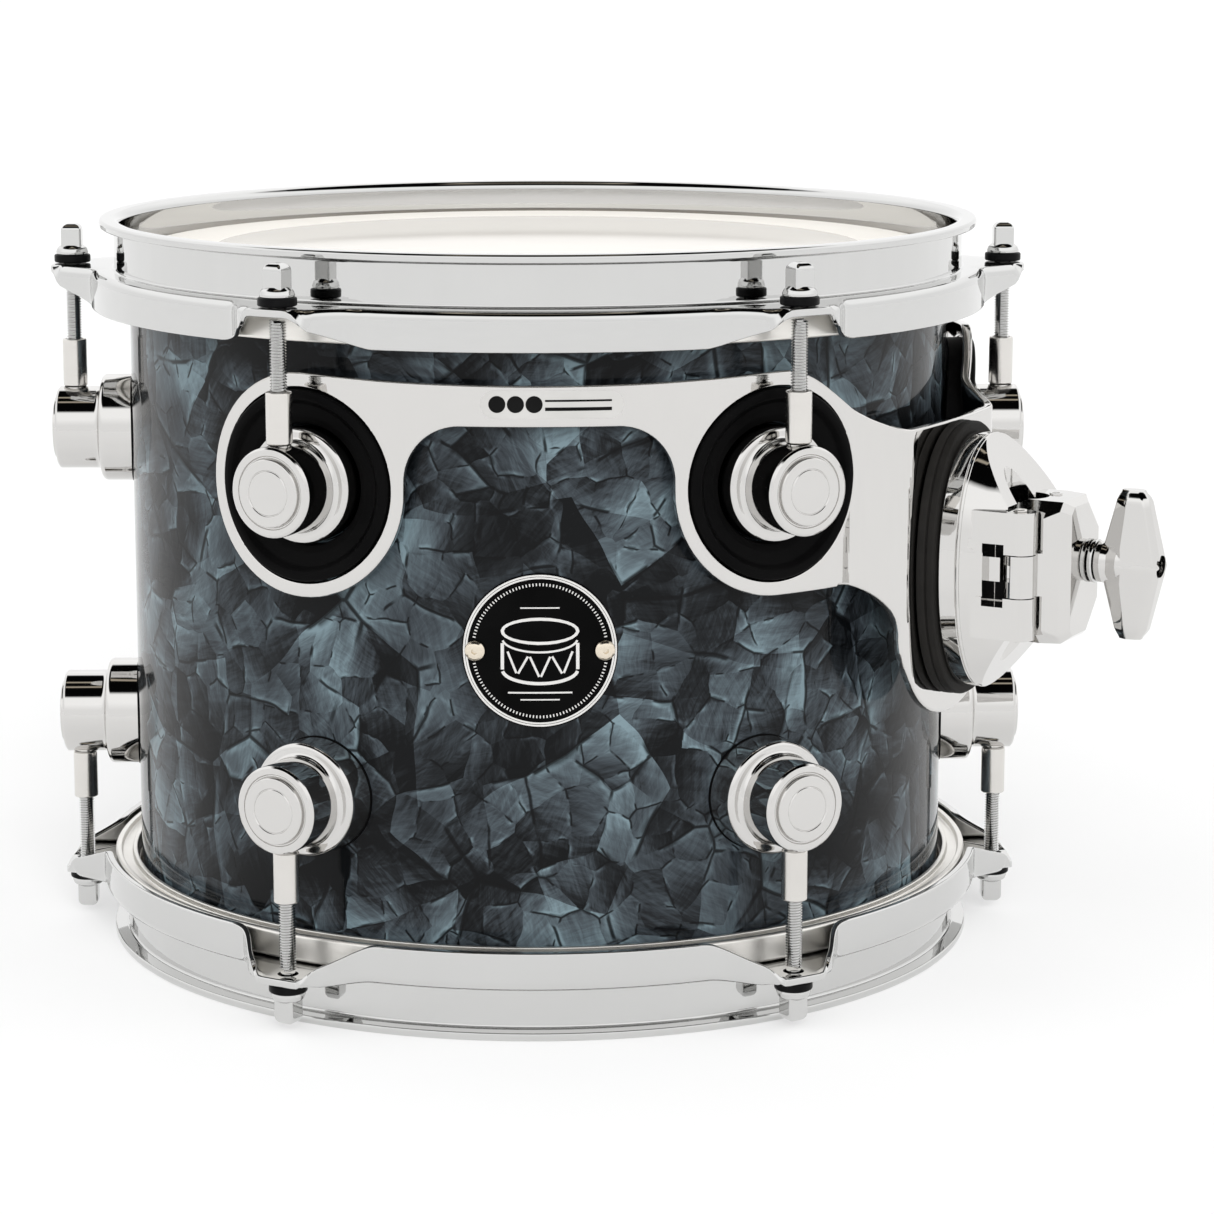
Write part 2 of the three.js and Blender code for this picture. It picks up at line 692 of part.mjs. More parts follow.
function buildClamp(parent) {
  const here = station(parent, BRACKET_AZIMUTH);
  addPart(here, 'suspension_bracket', bracketGeometry(), chrome);
  addPart(here, 'clamp_gasket', clampGasketGeometry(), rubber);
  addPart(here, 'clamp_base', clampBaseGeometry(), chrome);
  addPart(here, 'clamp_jaw', clampJawGeometry(), chrome);
  const pin = rod(PIN_R, KNUCKLE_ENDS[3] - 0.8, KNUCKLE_ENDS[0] + 0.8, 12);
  addPart(here, 'hinge_pin', pin.translate(HINGE_U, HINGE_T, 0), satinNickel);
  const stud = radialRod(STUD_R, 148.5, 194, 12).translate(0, STUD_T, STUD_Z);
  addPart(here, 'clamp_stud', stud, satinNickel);
  addPart(here, 'clamp_washer', washerGeometry(), chrome);
  addPart(here, 'wing_nut', wingNutGeometry(), chrome);
}

// ---------------------------------------------------------------- assembly

addPart(model, 'shell', shellGeometry(), maple);
addPart(model, 'finish_wrap', wrapGeometry(), pearl);
addPart(model, 'badge', badgeGeometry(), badgeBlack);
[-BADGE_SCREW_ANGLE, BADGE_SCREW_ANGLE].forEach((angle, index) => {
  const here = station(model, BADGE_AZIMUTH + angle);
  addPart(here, `badge_screw_${index + 1}`, badgeScrewGeometry(), satinNickel);
});

buildSide(model, 'batter', 'upper');

const resonantSide = new THREE.Group();
resonantSide.rotation.x = Math.PI;
resonantSide.position.z = -DRUM_DEPTH;
model.add(resonantSide);
buildSide(resonantSide, 'resonant', 'lower');

buildClamp(model);
[-120, -60, 0, 60].forEach((azimuth, index) => {
  addPart(station(model, azimuth), `bracket_grommet_${index + 1}`, grommetGeometry(), rubber);
});

export default model;
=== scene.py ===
import math

import bmesh
import bpy
import numpy as np
from mathutils import Matrix, Vector


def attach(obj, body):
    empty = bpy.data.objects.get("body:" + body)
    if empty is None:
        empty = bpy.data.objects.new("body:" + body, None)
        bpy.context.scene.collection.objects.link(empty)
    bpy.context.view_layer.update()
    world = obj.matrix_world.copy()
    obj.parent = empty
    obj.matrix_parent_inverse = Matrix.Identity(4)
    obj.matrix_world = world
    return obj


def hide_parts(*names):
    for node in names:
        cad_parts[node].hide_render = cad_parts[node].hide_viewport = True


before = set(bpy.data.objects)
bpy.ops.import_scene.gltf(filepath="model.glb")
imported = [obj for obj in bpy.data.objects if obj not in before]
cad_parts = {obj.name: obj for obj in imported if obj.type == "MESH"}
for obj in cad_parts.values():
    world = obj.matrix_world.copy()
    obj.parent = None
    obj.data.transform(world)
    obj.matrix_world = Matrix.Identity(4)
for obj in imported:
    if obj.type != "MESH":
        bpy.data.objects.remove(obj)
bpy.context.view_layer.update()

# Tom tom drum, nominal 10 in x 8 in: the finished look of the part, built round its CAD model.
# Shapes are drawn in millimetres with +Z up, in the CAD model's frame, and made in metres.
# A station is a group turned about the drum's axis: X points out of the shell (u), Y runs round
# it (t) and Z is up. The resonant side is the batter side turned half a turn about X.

MM = 0.001

# ---------------------------------------------------------------- dimensions

DRUM_DEPTH = 203.2
FLOOR_Z = -212.7

SHELL_R = 124.4
SHELL_INNER_R = 118.4
PLIES = 9
WRAP_R = 125.4
WRAP_INNER_R = 124.7
EDGE_R = 121.0
HEAD_FILM = 0.5
COATING_R = 99.6  # the batter head is coated outside this

SHEET = 2.3
HOOP_WALL_R = 129.9
HOOP_LIP_R = 134.4
HOOP_CREST = 9.5
STEP_TOP = -5.6
SKIRT_R = 137.0
SKIRT_BOTTOM = -17.1
EAR_R = 149.5
EAR_FLAT = 2.2
EAR_BENT = 4.6
EAR_END = 9.0

STATIONS = [-120, -60, 0, 60, 120, 180]
ROD_CIRCLE_R = 143.4
ROD_R = 2.4
ROD_PITCH = 25.4 / 32
ROD_END = -47.0
ROD_HEAD_TOP = 6.5
LUG_Z = -56.6

BRACKET_AZIMUTH = -30
BRACKET_R = 133.5
PLATE = 3.0
RING_PITCH = BRACKET_R * math.pi / 3
RING_R = 31.8
GROMMET_R = 27.2
PAD_U = 139.9
PAD_HALF = 30.4

CLAMP_Z = -85.5
SPLIT_U = 165.0
ARM_R = 6.6
ARM_T = -5.0
HINGE_U = 169.3
HINGE_T = -19.5
KNUCKLE_R = 4.5
KNUCKLE_ENDS = [-67.0, -79.3, -91.7, -104.0]
STUD_T = 8.0
STUD_Z = -84.5
STUD_PITCH = 1.25
WING_HALF = 21.8
JAW_FACE = 180.8

BADGE_AZIMUTH = -90
BADGE_Z = -101.7
BADGE_R = 21.95
BADGE_SCREW_ANGLE = 8.2
BADGE_FACE_R = 126.55
LABEL_Z = -31.6

BEND_STEP = 1.6  # the width of the strips in a plate bent round the shell

# ---------------------------------------------------------------- shader nodes


def feed(tree, socket, value):
    if isinstance(value, bpy.types.NodeSocket):
        tree.links.new(value, socket)
    else:
        socket.default_value = value


def node(tree, kind, inputs=None, **settings):
    made = tree.nodes.new("ShaderNode" + kind)
    for key, value in settings.items():
        setattr(made, key, value)
    for key, value in (inputs or {}).items():
        feed(tree, made.inputs[key], value)
    return made


def calc(tree, operation, first, second=0.0, third=0.0, clamp=False):
    inputs = {0: first, 1: second, 2: third}
    return node(tree, "Math", inputs, operation=operation, use_clamp=clamp).outputs[0]


def ramp(tree, value, stops):
    """A colour ramp through (position, colour) stops."""
    made = node(tree, "ValToRGB", {"Fac": value})
    band = made.color_ramp
    while len(band.elements) < len(stops):
        band.elements.new(1.0)
    for element, (position, color) in zip(band.elements, stops):
        element.position = position
        element.color = (*color, 1.0) if len(color) == 3 else color
    return made.outputs["Color"]


def span(tree, value, low, high, out_low=0.0, out_high=1.0):
    """The value's place between low and high, smoothly, as a number from out_low to out_high."""
    inputs = {"Value": value, 1: low, 2: high, 3: out_low, 4: out_high}
    return node(tree, "MapRange", inputs, interpolation_type="SMOOTHSTEP").outputs["Result"]


def blend_colors(tree, share, first, second):
    made = node(tree, "Mix", data_type="RGBA")
    feed(tree, made.inputs["Factor"], share)
    for socket, value in zip([s for s in made.inputs if s.type == "RGBA"], (first, second)):
        feed(tree, socket, value if isinstance(value, bpy.types.NodeSocket) else (*value, 1.0))
    return next(s for s in made.outputs if s.type == "RGBA")


def stretched(tree, point, scale):
    return node(tree, "Mapping", {"Vector": point, "Scale": scale}).outputs[0]


def noise(tree, point, scale, detail=3.0, roughness=0.5, distortion=0.0):
    inputs = {
        "Vector": point,
        "Scale": scale,
        "Detail": detail,
        "Roughness": roughness,
        "Distortion": distortion,
    }
    return node(tree, "TexNoise", inputs).outputs["Fac"]


def bump(tree, height, distance_mm, strength=1.0):
    inputs = {"Height": height, "Distance": distance_mm * MM, "Strength": strength}
    return node(tree, "Bump", inputs).outputs["Normal"]


def start_material(name):
    """A new material, its empty node tree and the object coordinates in it."""
    material = bpy.data.materials.new(name)
    material.use_nodes = True
    tree = material.node_tree
    tree.nodes.clear()
    return material, tree, node(tree, "TexCoord").outputs["Object"]


def finish_shader(tree, **inputs):
    """Ends a material in one Principled shader; socket names have _ for spaces."""
    shader = node(tree, "BsdfPrincipled", {k.replace("_", " "): v for k, v in inputs.items()})
    tree.links.new(shader.outputs[0], node(tree, "OutputMaterial").inputs["Surface"])
    return shader


# ---------------------------------------------------------------- materials


def chrome_look(name, color, rough):
    """Plating: a mirror with a faint cloudiness and the slow ripple of polished metal."""
    material, tree, point = start_material(name)
    haze = noise(tree, point, 45.0, 4.0)
    ripple = noise(tree, point, 22.0, 1.5)
    smear = blend_colors(tree, haze, [c * 0.96 for c in color], color)
    finish_shader(
        tree,
        Base_Color=smear,
        Metallic=1.0,
        Roughness=span(tree, haze, 0.3, 0.75, rough, rough + 0.03),
        Normal=bump(tree, ripple, 0.12, 0.4),
    )
    return material


def satin_look(name, color, rough, across, along):
    """Machined or drawn metal: a slight stain, and tool marks at two frequencies per metre."""
    material, tree, point = start_material(name)
    marks = noise(tree, stretched(tree, point, (across, across, along)), 1.0, 4.0, 0.6)
    stain = noise(tree, point, 120.0, 3.0)
    finish_shader(
        tree,
        Base_Color=blend_colors(tree, stain, [c * 0.9 for c in color], color),
        Metallic=1.0,
        Roughness=span(tree, marks, 0.25, 0.75, rough - 0.03, rough + 0.05),
        Normal=bump(tree, marks, 0.006, 0.5),
    )
    return material


def moulded_look(name, dark, light, dust_scale, dust_detail, pore_scale, rough, gloss, relief):
    """Moulded rubber or nylon: a dusty tone over fine pores, whose relief is (mm, strength)."""
    material, tree, point = start_material(name)
    pores = noise(tree, point, pore_scale, 3.0, 0.6)
    dust = noise(tree, point, dust_scale, dust_detail, 0.6)
    finish_shader(
        tree,
        Base_Color=ramp(tree, dust, [(0.3, dark), (0.8, light)]),
        Roughness=span(tree, dust, 0.2, 0.8, *rough),
        Specular_IOR_Level=gloss,
        Normal=bump(tree, pores, *relief),
    )
    return material


def radius_and_arc(tree, point):
    """The distance from the drum's axis and the arc round it from the front, both in metres."""
    parts = node(tree, "SeparateXYZ", {"Vector": point})
    x, y, z = parts.outputs
    squares = calc(tree, "ADD", calc(tree, "MULTIPLY", x, x), calc(tree, "MULTIPLY", y, y))
    radius = calc(tree, "SQRT", squares)
    turn = calc(tree, "ARCTAN2", x, calc(tree, "MULTIPLY", y, -1.0))
    return radius, calc(tree, "MULTIPLY", turn, WRAP_R * MM), z


def maple_look():
    """Natural maple: fine grain that runs round the shell, and the plies showing at its edges."""
    material, tree, point = start_material("natural_maple")
    radius, arc, z = radius_and_arc(tree, point)
    flat = node(tree, "CombineXYZ", {"X": arc, "Y": z, "Z": 0.0}).outputs[0]
    fibre = noise(tree, stretched(tree, flat, (35.0, 900.0, 1.0)), 1.0, 6.0, 0.62, 0.4)
    figure = noise(tree, stretched(tree, flat, (9.0, 60.0, 1.0)), 1.0, 4.0, 0.5, 1.2)
    grain = blend_colors(
        tree,
        0.45,
        ramp(tree, fibre, [(0.25, (0.50, 0.33, 0.185)), (0.75, (0.80, 0.635, 0.44))]),
        ramp(tree, figure, [(0.2, (0.60, 0.42, 0.25)), (0.8, (0.86, 0.70, 0.50))]),
    )
    wall = (SHELL_R - SHELL_INNER_R) * MM
    through = calc(tree, "DIVIDE", calc(tree, "SUBTRACT", radius, SHELL_INNER_R * MM), wall)
    waver = calc(tree, "MULTIPLY", noise(tree, stretched(tree, flat, (60.0, 0.0, 1.0)), 1.0), 0.05)
    ply = calc(tree, "FRACT", calc(tree, "MULTIPLY", calc(tree, "ADD", through, waver), PLIES / 2))
    bands = ramp(
        tree,
        ply,
        [
            (0.0, (0.30, 0.17, 0.08)),
            (0.05, (0.74, 0.56, 0.36)),
            (0.47, (0.78, 0.60, 0.40)),
            (0.50, (0.32, 0.18, 0.09)),
            (0.55, (0.52, 0.34, 0.18)),
            (0.97, (0.56, 0.38, 0.21)),
        ],
    )
    facing = node(tree, "SeparateXYZ", {"Vector": node(tree, "NewGeometry").outputs["Normal"]})
    cut_edge = span(tree, calc(tree, "ABSOLUTE", facing.outputs["Z"]), 0.12, 0.3)
    finish_shader(
        tree,
        Base_Color=blend_colors(tree, cut_edge, grain, bands),
        Roughness=span(tree, fibre, 0.2, 0.8, 0.42, 0.56),
        Coat_Weight=0.25,
        Coat_Roughness=0.3,
        Normal=bump(tree, fibre, 0.05, 0.35),
    )
    return material


def vector_math(tree, operation, first, second, third=(0.0, 0.0, 0.0)):
    inputs = {0: first, 1: second, 2: third}
    return node(tree, "VectorMath", inputs, operation=operation).outputs[0]


def crumpled(tree, flat, scale, seed, wander):
    """A layer of crumpled film, as flakes with nearly straight sides. Gives each flake's random
    tones, the shade that runs across it, its brushed streaks and the distance to its edge."""
    shifted = vector_math(tree, "ADD", flat, (seed, seed * 0.37, 0.0))
    inputs = {"Vector": shifted, "Scale": scale * 0.9, "Detail": 2.0}
    drift = node(tree, "TexNoise", inputs).outputs["Color"]
    offset = vector_math(tree, "SUBTRACT", drift, (0.5, 0.5, 0.5))
    amount = wander / scale
    bent = vector_math(tree, "MULTIPLY_ADD", offset, (amount, amount, 0.0), shifted)
    cells = node(tree, "TexVoronoi", {"Vector": bent, "Scale": scale}, voronoi_dimensions="2D")
    tones = node(tree, "SeparateColor", {"Color": cells.outputs["Color"]}).outputs
    local = vector_math(tree, "SUBTRACT", bent, cells.outputs["Position"])
    angle = calc(tree, "MULTIPLY", tones["Green"], 2 * math.pi)
    inputs = {"Vector": local, "Angle": angle}
    aligned = node(tree, "VectorRotate", inputs, rotation_type="Z_AXIS").outputs[0]
    across = node(tree, "SeparateXYZ", {"Vector": aligned}).outputs["X"]
    shade = calc(tree, "MULTIPLY", across, scale)
    apart = vector_math(tree, "ADD", aligned, cells.outputs["Color"])
    grain = (scale * 14.0, scale * 1.8, 1.0)
    streaks = noise(tree, stretched(tree, apart, grain), 1.0, 5.0, 0.6, 0.6)
    inputs = {"Vector": bent, "Scale": scale}
    edges = node(tree, "TexVoronoi", inputs, voronoi_dimensions="2D", feature="DISTANCE_TO_EDGE")
    return tones, shade, streaks, edges.outputs["Distance"]


def crease(tree, edge, width, mask):
    """A line along the flakes' edges, where the mask lets it show."""
    return calc(tree, "MULTIPLY", span(tree, edge, width * 0.25, width, 1.0, 0.0), mask)


def pearl_look():
    """Black pearl marble under a clear coat, laid out flat round the shell. Each layer of flakes
    is (flakes per metre, seed, wander of the edges, slope of the shade, brushing, crease width)."""
    material, tree, point = start_material("pearl_marble")
    _, arc, z = radius_and_arc(tree, point)
    flat = node(tree, "CombineXYZ", {"X": arc, "Y": z, "Z": 0.0}).outputs[0]
    clouds = noise(tree, flat, 20.0, 3.0, 0.5, 0.3)
    glow, lines, lips = 0.38, 0.0, 0.0
    layers = [
        (25.0, 3.1, 0.32, 0.46, 0.432, 0.026),
        (47.0, 9.7, 0.36, 0.42, 0.576, 0.034),
        (88.0, 21.3, 0.42, 0.27, 0.432, 0.044),
    ]
    for scale, seed, wander, slope, brush, width in layers:
        tones, shade, streaks, edge = crumpled(tree, flat, scale, seed, wander)
        glow = calc(tree, "MULTIPLY_ADD", shade, slope, glow)
        glow = calc(tree, "MULTIPLY_ADD", calc(tree, "SUBTRACT", tones["Red"], 0.5), 0.1, glow)
        glow = calc(tree, "MULTIPLY_ADD", calc(tree, "SUBTRACT", streaks, 0.5), brush, glow)
        patches = noise(tree, vector_math(tree, "ADD", flat, (seed, 2.0, 0.0)), scale * 1.9, 1.0, 0.5)
        lines = calc(tree, "MAXIMUM", lines, crease(tree, edge, width, span(tree, patches, 0.49, 0.55)))
        bold = crease(tree, edge, width * 2.2, span(tree, patches, 0.6, 0.68))
        lines = calc(tree, "MAXIMUM", lines, calc(tree, "MULTIPLY", bold, 0.8))
        bright_side = calc(tree, "MULTIPLY", span(tree, shade, 0.0, 0.3), span(tree, patches, 0.46, 0.6))
        lips = calc(tree, "MAXIMUM", lips, crease(tree, edge, width * 3.2, bright_side))
    glow = calc(tree, "MULTIPLY_ADD", lips, 0.34, glow)
    glow = calc(tree, "MULTIPLY", glow, span(tree, clouds, 0.34, 0.6, 0.62, 1.1))

    pearl = ramp(
        tree,
        glow,
        [
            (0.0, (0.0012, 0.0016, 0.002)),
            (0.17, (0.0075, 0.009, 0.0105)),
            (0.36, (0.025, 0.031, 0.0365)),
            (0.60, (0.052, 0.068, 0.078)),
            (1.0, (0.115, 0.16, 0.18)),
        ],
    )
    color = blend_colors(tree, calc(tree, "MULTIPLY", lines, 0.92), pearl, (0.001, 0.0012, 0.0015))
    finish_shader(
        tree,
        Base_Color=color,
        Roughness=span(tree, streaks, 0.2, 0.8, 0.4, 0.55),
        Specular_IOR_Level=0.05,
        Coat_Weight=1.0,
        Coat_Roughness=0.02,
        Coat_IOR=1.2,
        Normal=bump(tree, calc(tree, "SUBTRACT", glow, lines), 0.1, 0.3),
    )
    return material


def film_look(name, coated):
    """Clear polyester head. The batter head's outer ring carries a sprayed white coating."""
    material, tree, point = start_material(name)
    radius, _, _ = radius_and_arc(tree, point)
    ragged = calc(tree, "MULTIPLY", noise(tree, point, 300.0, 2.0), 0.6 * MM)
    place = calc(tree, "ADD", radius, ragged)
    grit = noise(tree, point, 1500.0, 3.0, 0.7)
    scuff = noise(tree, point, 25.0, 4.0, 0.6)
    inside = span(tree, place, COATING_R * MM, (COATING_R + 0.7) * MM)
    outside = span(tree, place, (EDGE_R - 0.4) * MM, (EDGE_R + 0.4) * MM, 1.0, 0.0)
    paint = calc(tree, "MULTIPLY", inside, outside) if coated else calc(tree, "MULTIPLY", scuff, 0.0)
    glare = node(tree, "LayerWeight", {"Blend": 0.5}).outputs["Facing"]
    clear = calc(tree, "MULTIPLY_ADD", glare, 1.02, calc(tree, "MULTIPLY", scuff, 0.08), clamp=True)
    solid = calc(tree, "MAXIMUM", clear, calc(tree, "MULTIPLY", paint, 0.97))
    finish_shader(
        tree,
        Base_Color=blend_colors(tree, paint, (0.80, 0.755, 0.685), (0.80, 0.77, 0.715)),
        Roughness=span(tree, paint, 0.0, 1.0, 0.08, 0.5),
        Alpha=solid,
        Specular_IOR_Level=0.5,
        Normal=bump(tree, calc(tree, "MULTIPLY", grit, paint), 0.08, 0.6),
    )
    return material


def lacquer_look(name, dark, light, rough, gloss):
    """Enamel with a fine orange peel."""
    material, tree, point = start_material(name)
    peel = noise(tree, point, 500.0, 2.0)
    cloud = noise(tree, point, 80.0, 3.0)
    finish_shader(
        tree,
        Base_Color=ramp(tree, cloud, [(0.3, dark), (0.75, light)]),
        Roughness=span(tree, cloud, 0.2, 0.8, rough, rough + 0.08),
        Specular_IOR_Level=gloss,
        Normal=bump(tree, peel, 0.01, 0.3),
    )
    return material


def floor_look():
    """A pale studio floor that runs into the white background and keeps soft contact shadows."""
    material, tree, point = start_material("studio_floor")
    mottle = noise(tree, point, 6.0, 3.0)
    finish_shader(
        tree,
        Base_Color=ramp(tree, mottle, [(0.2, (0.54, 0.54, 0.54)), (0.8, (0.56, 0.56, 0.56))]),
        Roughness=0.7,
        Specular_IOR_Level=0.0,
        Emission_Color=(1.0, 1.0, 1.0, 1.0),
        Emission_Strength=0.36,
    )
    return material


RUBBER_TONES = ((0.0008, 0.0008, 0.0009), (0.0024, 0.0023, 0.0023))
GASKET_TONES = ((0.006, 0.0056, 0.005), (0.013, 0.012, 0.011))
NYLON_TONES = ((0.0012, 0.0012, 0.0014), (0.004, 0.004, 0.0044))

LOOKS = {
    "chrome": (chrome_look("chrome_plate", (0.64, 0.64, 0.633), 0.018), "chrome"),
    "bracket_chrome": (chrome_look("bracket_plate", (0.675, 0.665, 0.65), 0.03), "chrome"),
    "cast_chrome": (chrome_look("cast_chrome", (0.665, 0.656, 0.642), 0.035), "chrome"),
    "satin": (satin_look("satin_nickel_plate", (0.74, 0.72, 0.69), 0.2, 60.0, 2600.0), "satin_nickel"),
    "champagne": (satin_look("champagne_screw", (0.80, 0.72, 0.60), 0.2, 900.0, 900.0), "satin_nickel"),
    "zinc": (satin_look("zinc_screw_plate", (0.62, 0.62, 0.60), 0.3, 700.0, 700.0), "satin_nickel"),
    "silver_ink": (satin_look("silver_ink", (0.84, 0.83, 0.81), 0.3, 400.0, 400.0), "badge_black"),
    "aluminium": (satin_look("drawn_aluminium", (0.86, 0.84, 0.80), 0.34, 40.0, 1500.0), "flesh_hoop"),
    "rubber": (
        moulded_look("grommet_rubber", *RUBBER_TONES, 60.0, 4.0, 900.0, (0.42, 0.58), 0.045, (0.05, 0.35)),
        "rubber",
    ),
    "gasket_rubber": (
        moulded_look("gasket_rubber", *GASKET_TONES, 90.0, 4.0, 700.0, (0.62, 0.75), 0.15, (0.06, 0.5)),
        "rubber",
    ),
    "nylon": (
        moulded_look("washer_nylon", *NYLON_TONES, 400.0, 3.0, 400.0, (0.3, 0.42), 0.08, (0.03, 0.4)),
        "rubber",
    ),
    "maple": (maple_look(), "maple"),
    "pearl": (pearl_look(), "pearl_wrap"),
    "coated_film": (film_look("coated_clear_film", True), "head_film"),
    "clear_film": (film_look("clear_film", False), "head_film"),
    "badge": (lacquer_look("badge_enamel", (0.0006,) * 3, (0.0016,) * 3, 0.2, 0.04), "badge_black"),
    "label": (lacquer_look("label_film", (0.33, 0.325, 0.315), (0.36, 0.355, 0.345), 0.3, 0.3), "chrome"),
    "ink": (lacquer_look("label_ink", (0.0025,) * 3, (0.005,) * 3, 0.4, 0.05), "badge_black"),
}

# ---------------------------------------------------------------- mesh building


def radians(degrees):
    return degrees * math.pi / 180


def smooth_step(start, end, value):
    x = min(max((value - start) / (end - start), 0), 1)
    return x * x * (3 - 2 * x)


def mix(a, b, share):
    return a + (b - a) * share


def rounded(points, closed=True, steps=4):
    """Rounds the corners of an outline; a point is (x, y) or (x, y, corner radius)."""
    outline = []
    for i, point in enumerate(points):
        here = np.array(point[:2], float)
        radius = point[2] if len(point) > 2 else 0
        if radius == 0 or (not closed and i in (0, len(points) - 1)):
            outline.append(tuple(here))
            continue
        back = np.array(points[i - 1][:2]) - here
        ahead = np.array(points[(i + 1) % len(points)][:2]) - here
        back_length, ahead_length = np.linalg.norm(back), np.linalg.norm(ahead)
        back, ahead = back / back_length, ahead / ahead_length
        half = math.acos(max(-1.0, min(1.0, float(back @ ahead)))) / 2
        reach = min(radius / math.tan(half), 0.48 * back_length, 0.48 * ahead_length)
        middle = back + ahead
        centre = here + middle / np.linalg.norm(middle) * reach / math.cos(half)
        first = here + back * reach - centre
        last = here + ahead * reach - centre
        sweep = math.pi - 2 * half
        for k in range(steps + 1):
            share = k / steps
            arm = math.sin((1 - share) * sweep) * first + math.sin(share * sweep) * last
            outline.append(tuple(centre + arm / math.sin(sweep)))
    return outline


def mesh_of(name, vertices, faces, sharp=30):
    """A mesh from points in millimetres, outward, smooth but for edges sharper than an angle."""
    mesh = bpy.data.meshes.new(name)
    mesh.from_pydata((np.asarray(vertices, float) * MM).tolist(), [], faces)
    return tidied(mesh, sharp)


def tidied(mesh, sharp=30):
    work = bmesh.new()
    work.from_mesh(mesh)
    bmesh.ops.remove_doubles(work, verts=work.verts, dist=1e-7)
    bmesh.ops.dissolve_degenerate(work, edges=work.edges, dist=1e-7)
    bmesh.ops.recalc_face_normals(work, faces=work.faces)
    work.to_mesh(mesh)
    work.free()
    mesh.polygons.foreach_set("use_smooth", [True] * len(mesh.polygons))
    mesh.set_sharp_from_angle(angle=radians(sharp))
    return mesh


def turned(name, profile, sides=96, sharp=30):
    """A solid of revolution about Z from [radius, height] pairs: a closed loop, or a line that
    starts and ends on the axis."""
    vertices, rings = [], []
    for r, z in profile:
        if r < 1e-6:
            rings.append([len(vertices)])
            vertices.append((0, 0, z))
            continue
        rings.append(list(range(len(vertices), len(vertices) + sides)))
        for k in range(sides):
            angle = 2 * math.pi * k / sides
            vertices.append((r * math.cos(angle), r * math.sin(angle), z))
    faces = []
    runs = len(rings) - 1 if len(rings[0]) == 1 else len(rings)
    for i in range(runs):
        here, there = rings[i], rings[(i + 1) % len(rings)]
        for k in range(sides):
            n = (k + 1) % sides
            if len(here) == 1:
                faces.append((here[0], there[k], there[n]))
            elif len(there) == 1:
                faces.append((here[k], here[n], there[0]))
            else:
                faces.append((here[k], here[n], there[n], there[k]))
    return mesh_of(name, vertices, faces, sharp)


def outwards(mesh):
    """Turns a mesh drawn about Z so that it lies along the station's X axis."""
    mesh.transform(Matrix.Rotation(math.pi / 2, 4, "Y"))
    return mesh


def moved(mesh, u=0.0, t=0.0, z=0.0):
    mesh.transform(Matrix.Translation((u * MM, t * MM, z * MM)))
    return mesh


def lofted(name, loops, closed_run=False, sharp=30):
    """Skins equal loops of points in order; an open run is capped at both ends."""
    count = len(loops[0])
    vertices = [p for loop in loops for p in loop]
    faces = []
    for i in range(len(loops) if closed_run else len(loops) - 1):
        near, far = i * count, ((i + 1) % len(loops)) * count
        for j in range(count):
            k = (j + 1) % count
            faces.append((near + j, near + k, far + k, far + j))
    if not closed_run:
        faces.append(tuple(range(count)))
        faces.append(tuple((len(loops) - 1) * count + j for j in range(count)))
    return mesh_of(name, vertices, faces, sharp)


def block(u_range, t_range, z_range):
    corners = [(u, t, z) for u in u_range for t in t_range for z in z_range]
    faces = [(0, 1, 3, 2), (4, 6, 7, 5), (0, 4, 5, 1), (2, 3, 7, 6), (0, 2, 6, 4), (1, 5, 7, 3)]
    return mesh_of("tool", corners, faces)


def bar(radius, low, high, sides=48):
    return turned("tool", [(0, low), (radius, low), (radius, high), (0, high)], sides)


def new_object(name, data):
    made = bpy.data.objects.new(name, data)
    bpy.context.scene.collection.objects.link(made)
    return made


def applied(mesh, *modifiers):
    """The mesh with modifiers applied; each is (kind, settings)."""
    work = new_object("work", mesh)
    helpers = []
    for kind, settings in modifiers:
        modifier = work.modifiers.new(kind, kind)
        for key, value in settings.items():
            if isinstance(value, bpy.types.Mesh):
                value = new_object("helper", value)
                helpers.append(value)
            setattr(modifier, key, value)
    graph = bpy.context.evaluated_depsgraph_get()
    graph.update()
    result = bpy.data.meshes.new_from_object(work.evaluated_get(graph), depsgraph=graph)
    for thing in [work, *helpers]:
        bpy.data.objects.remove(thing)
    return result


def combined(mesh, cuts=(), joins=()):
    """The mesh with other solids joined on, and then others cut away."""
    steps = [("BOOLEAN", {"operation": "UNION", "solver": "EXACT", "object": m}) for m in joins]
    steps += [("BOOLEAN", {"operation": "DIFFERENCE", "solver": "EXACT", "object": m}) for m in cuts]
    return applied(mesh, *steps)


def bevelled(mesh, width, segments=2, angle=32, sharp=36):
    """Breaks the sharp edges by a width in millimetres."""
    settings = {
        "width": width * MM,
        "segments": segments,
        "limit_method": "ANGLE",
        "angle_limit": radians(angle),
        "use_clamp_overlap": True,
        "loop_slide": False,
    }
    return tidied(applied(tidied(mesh, angle), ("BEVEL", settings)), sharp)


def station(azimuth, resonant=False):
    turn = Matrix.Rotation(radians(azimuth), 4, "Z")
    if not resonant:
        return turn
    return Matrix.Translation((0, 0, -DRUM_DEPTH * MM)) @ Matrix.Rotation(math.pi, 4, "X") @ turn


def piece(name, mesh, look, place=None, stands_for=(), body="drum"):
    """Shows a mesh as a piece of the part, riding on a body in place of CAD nodes."""
    material, slot = LOOKS[look]
    shape = mesh.copy()
    shape.name = name
    shape.transform(place if place is not None else Matrix())
    shape.materials.append(material)
    shown = new_object(name, shape)
    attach(shown, body)
    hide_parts(*stands_for)
    shown.modifiers.new("even_normals", "WEIGHTED_NORMAL").keep_sharp = True
    return shown


# ---------------------------------------------------------------- plates bent round the shell


def circle(centre, radius, sides=96):
    steps = [2 * math.pi * k / sides for k in range(sides)]
    return [(centre[0] + radius * math.cos(a), centre[1] + radius * math.sin(a)) for a in steps]


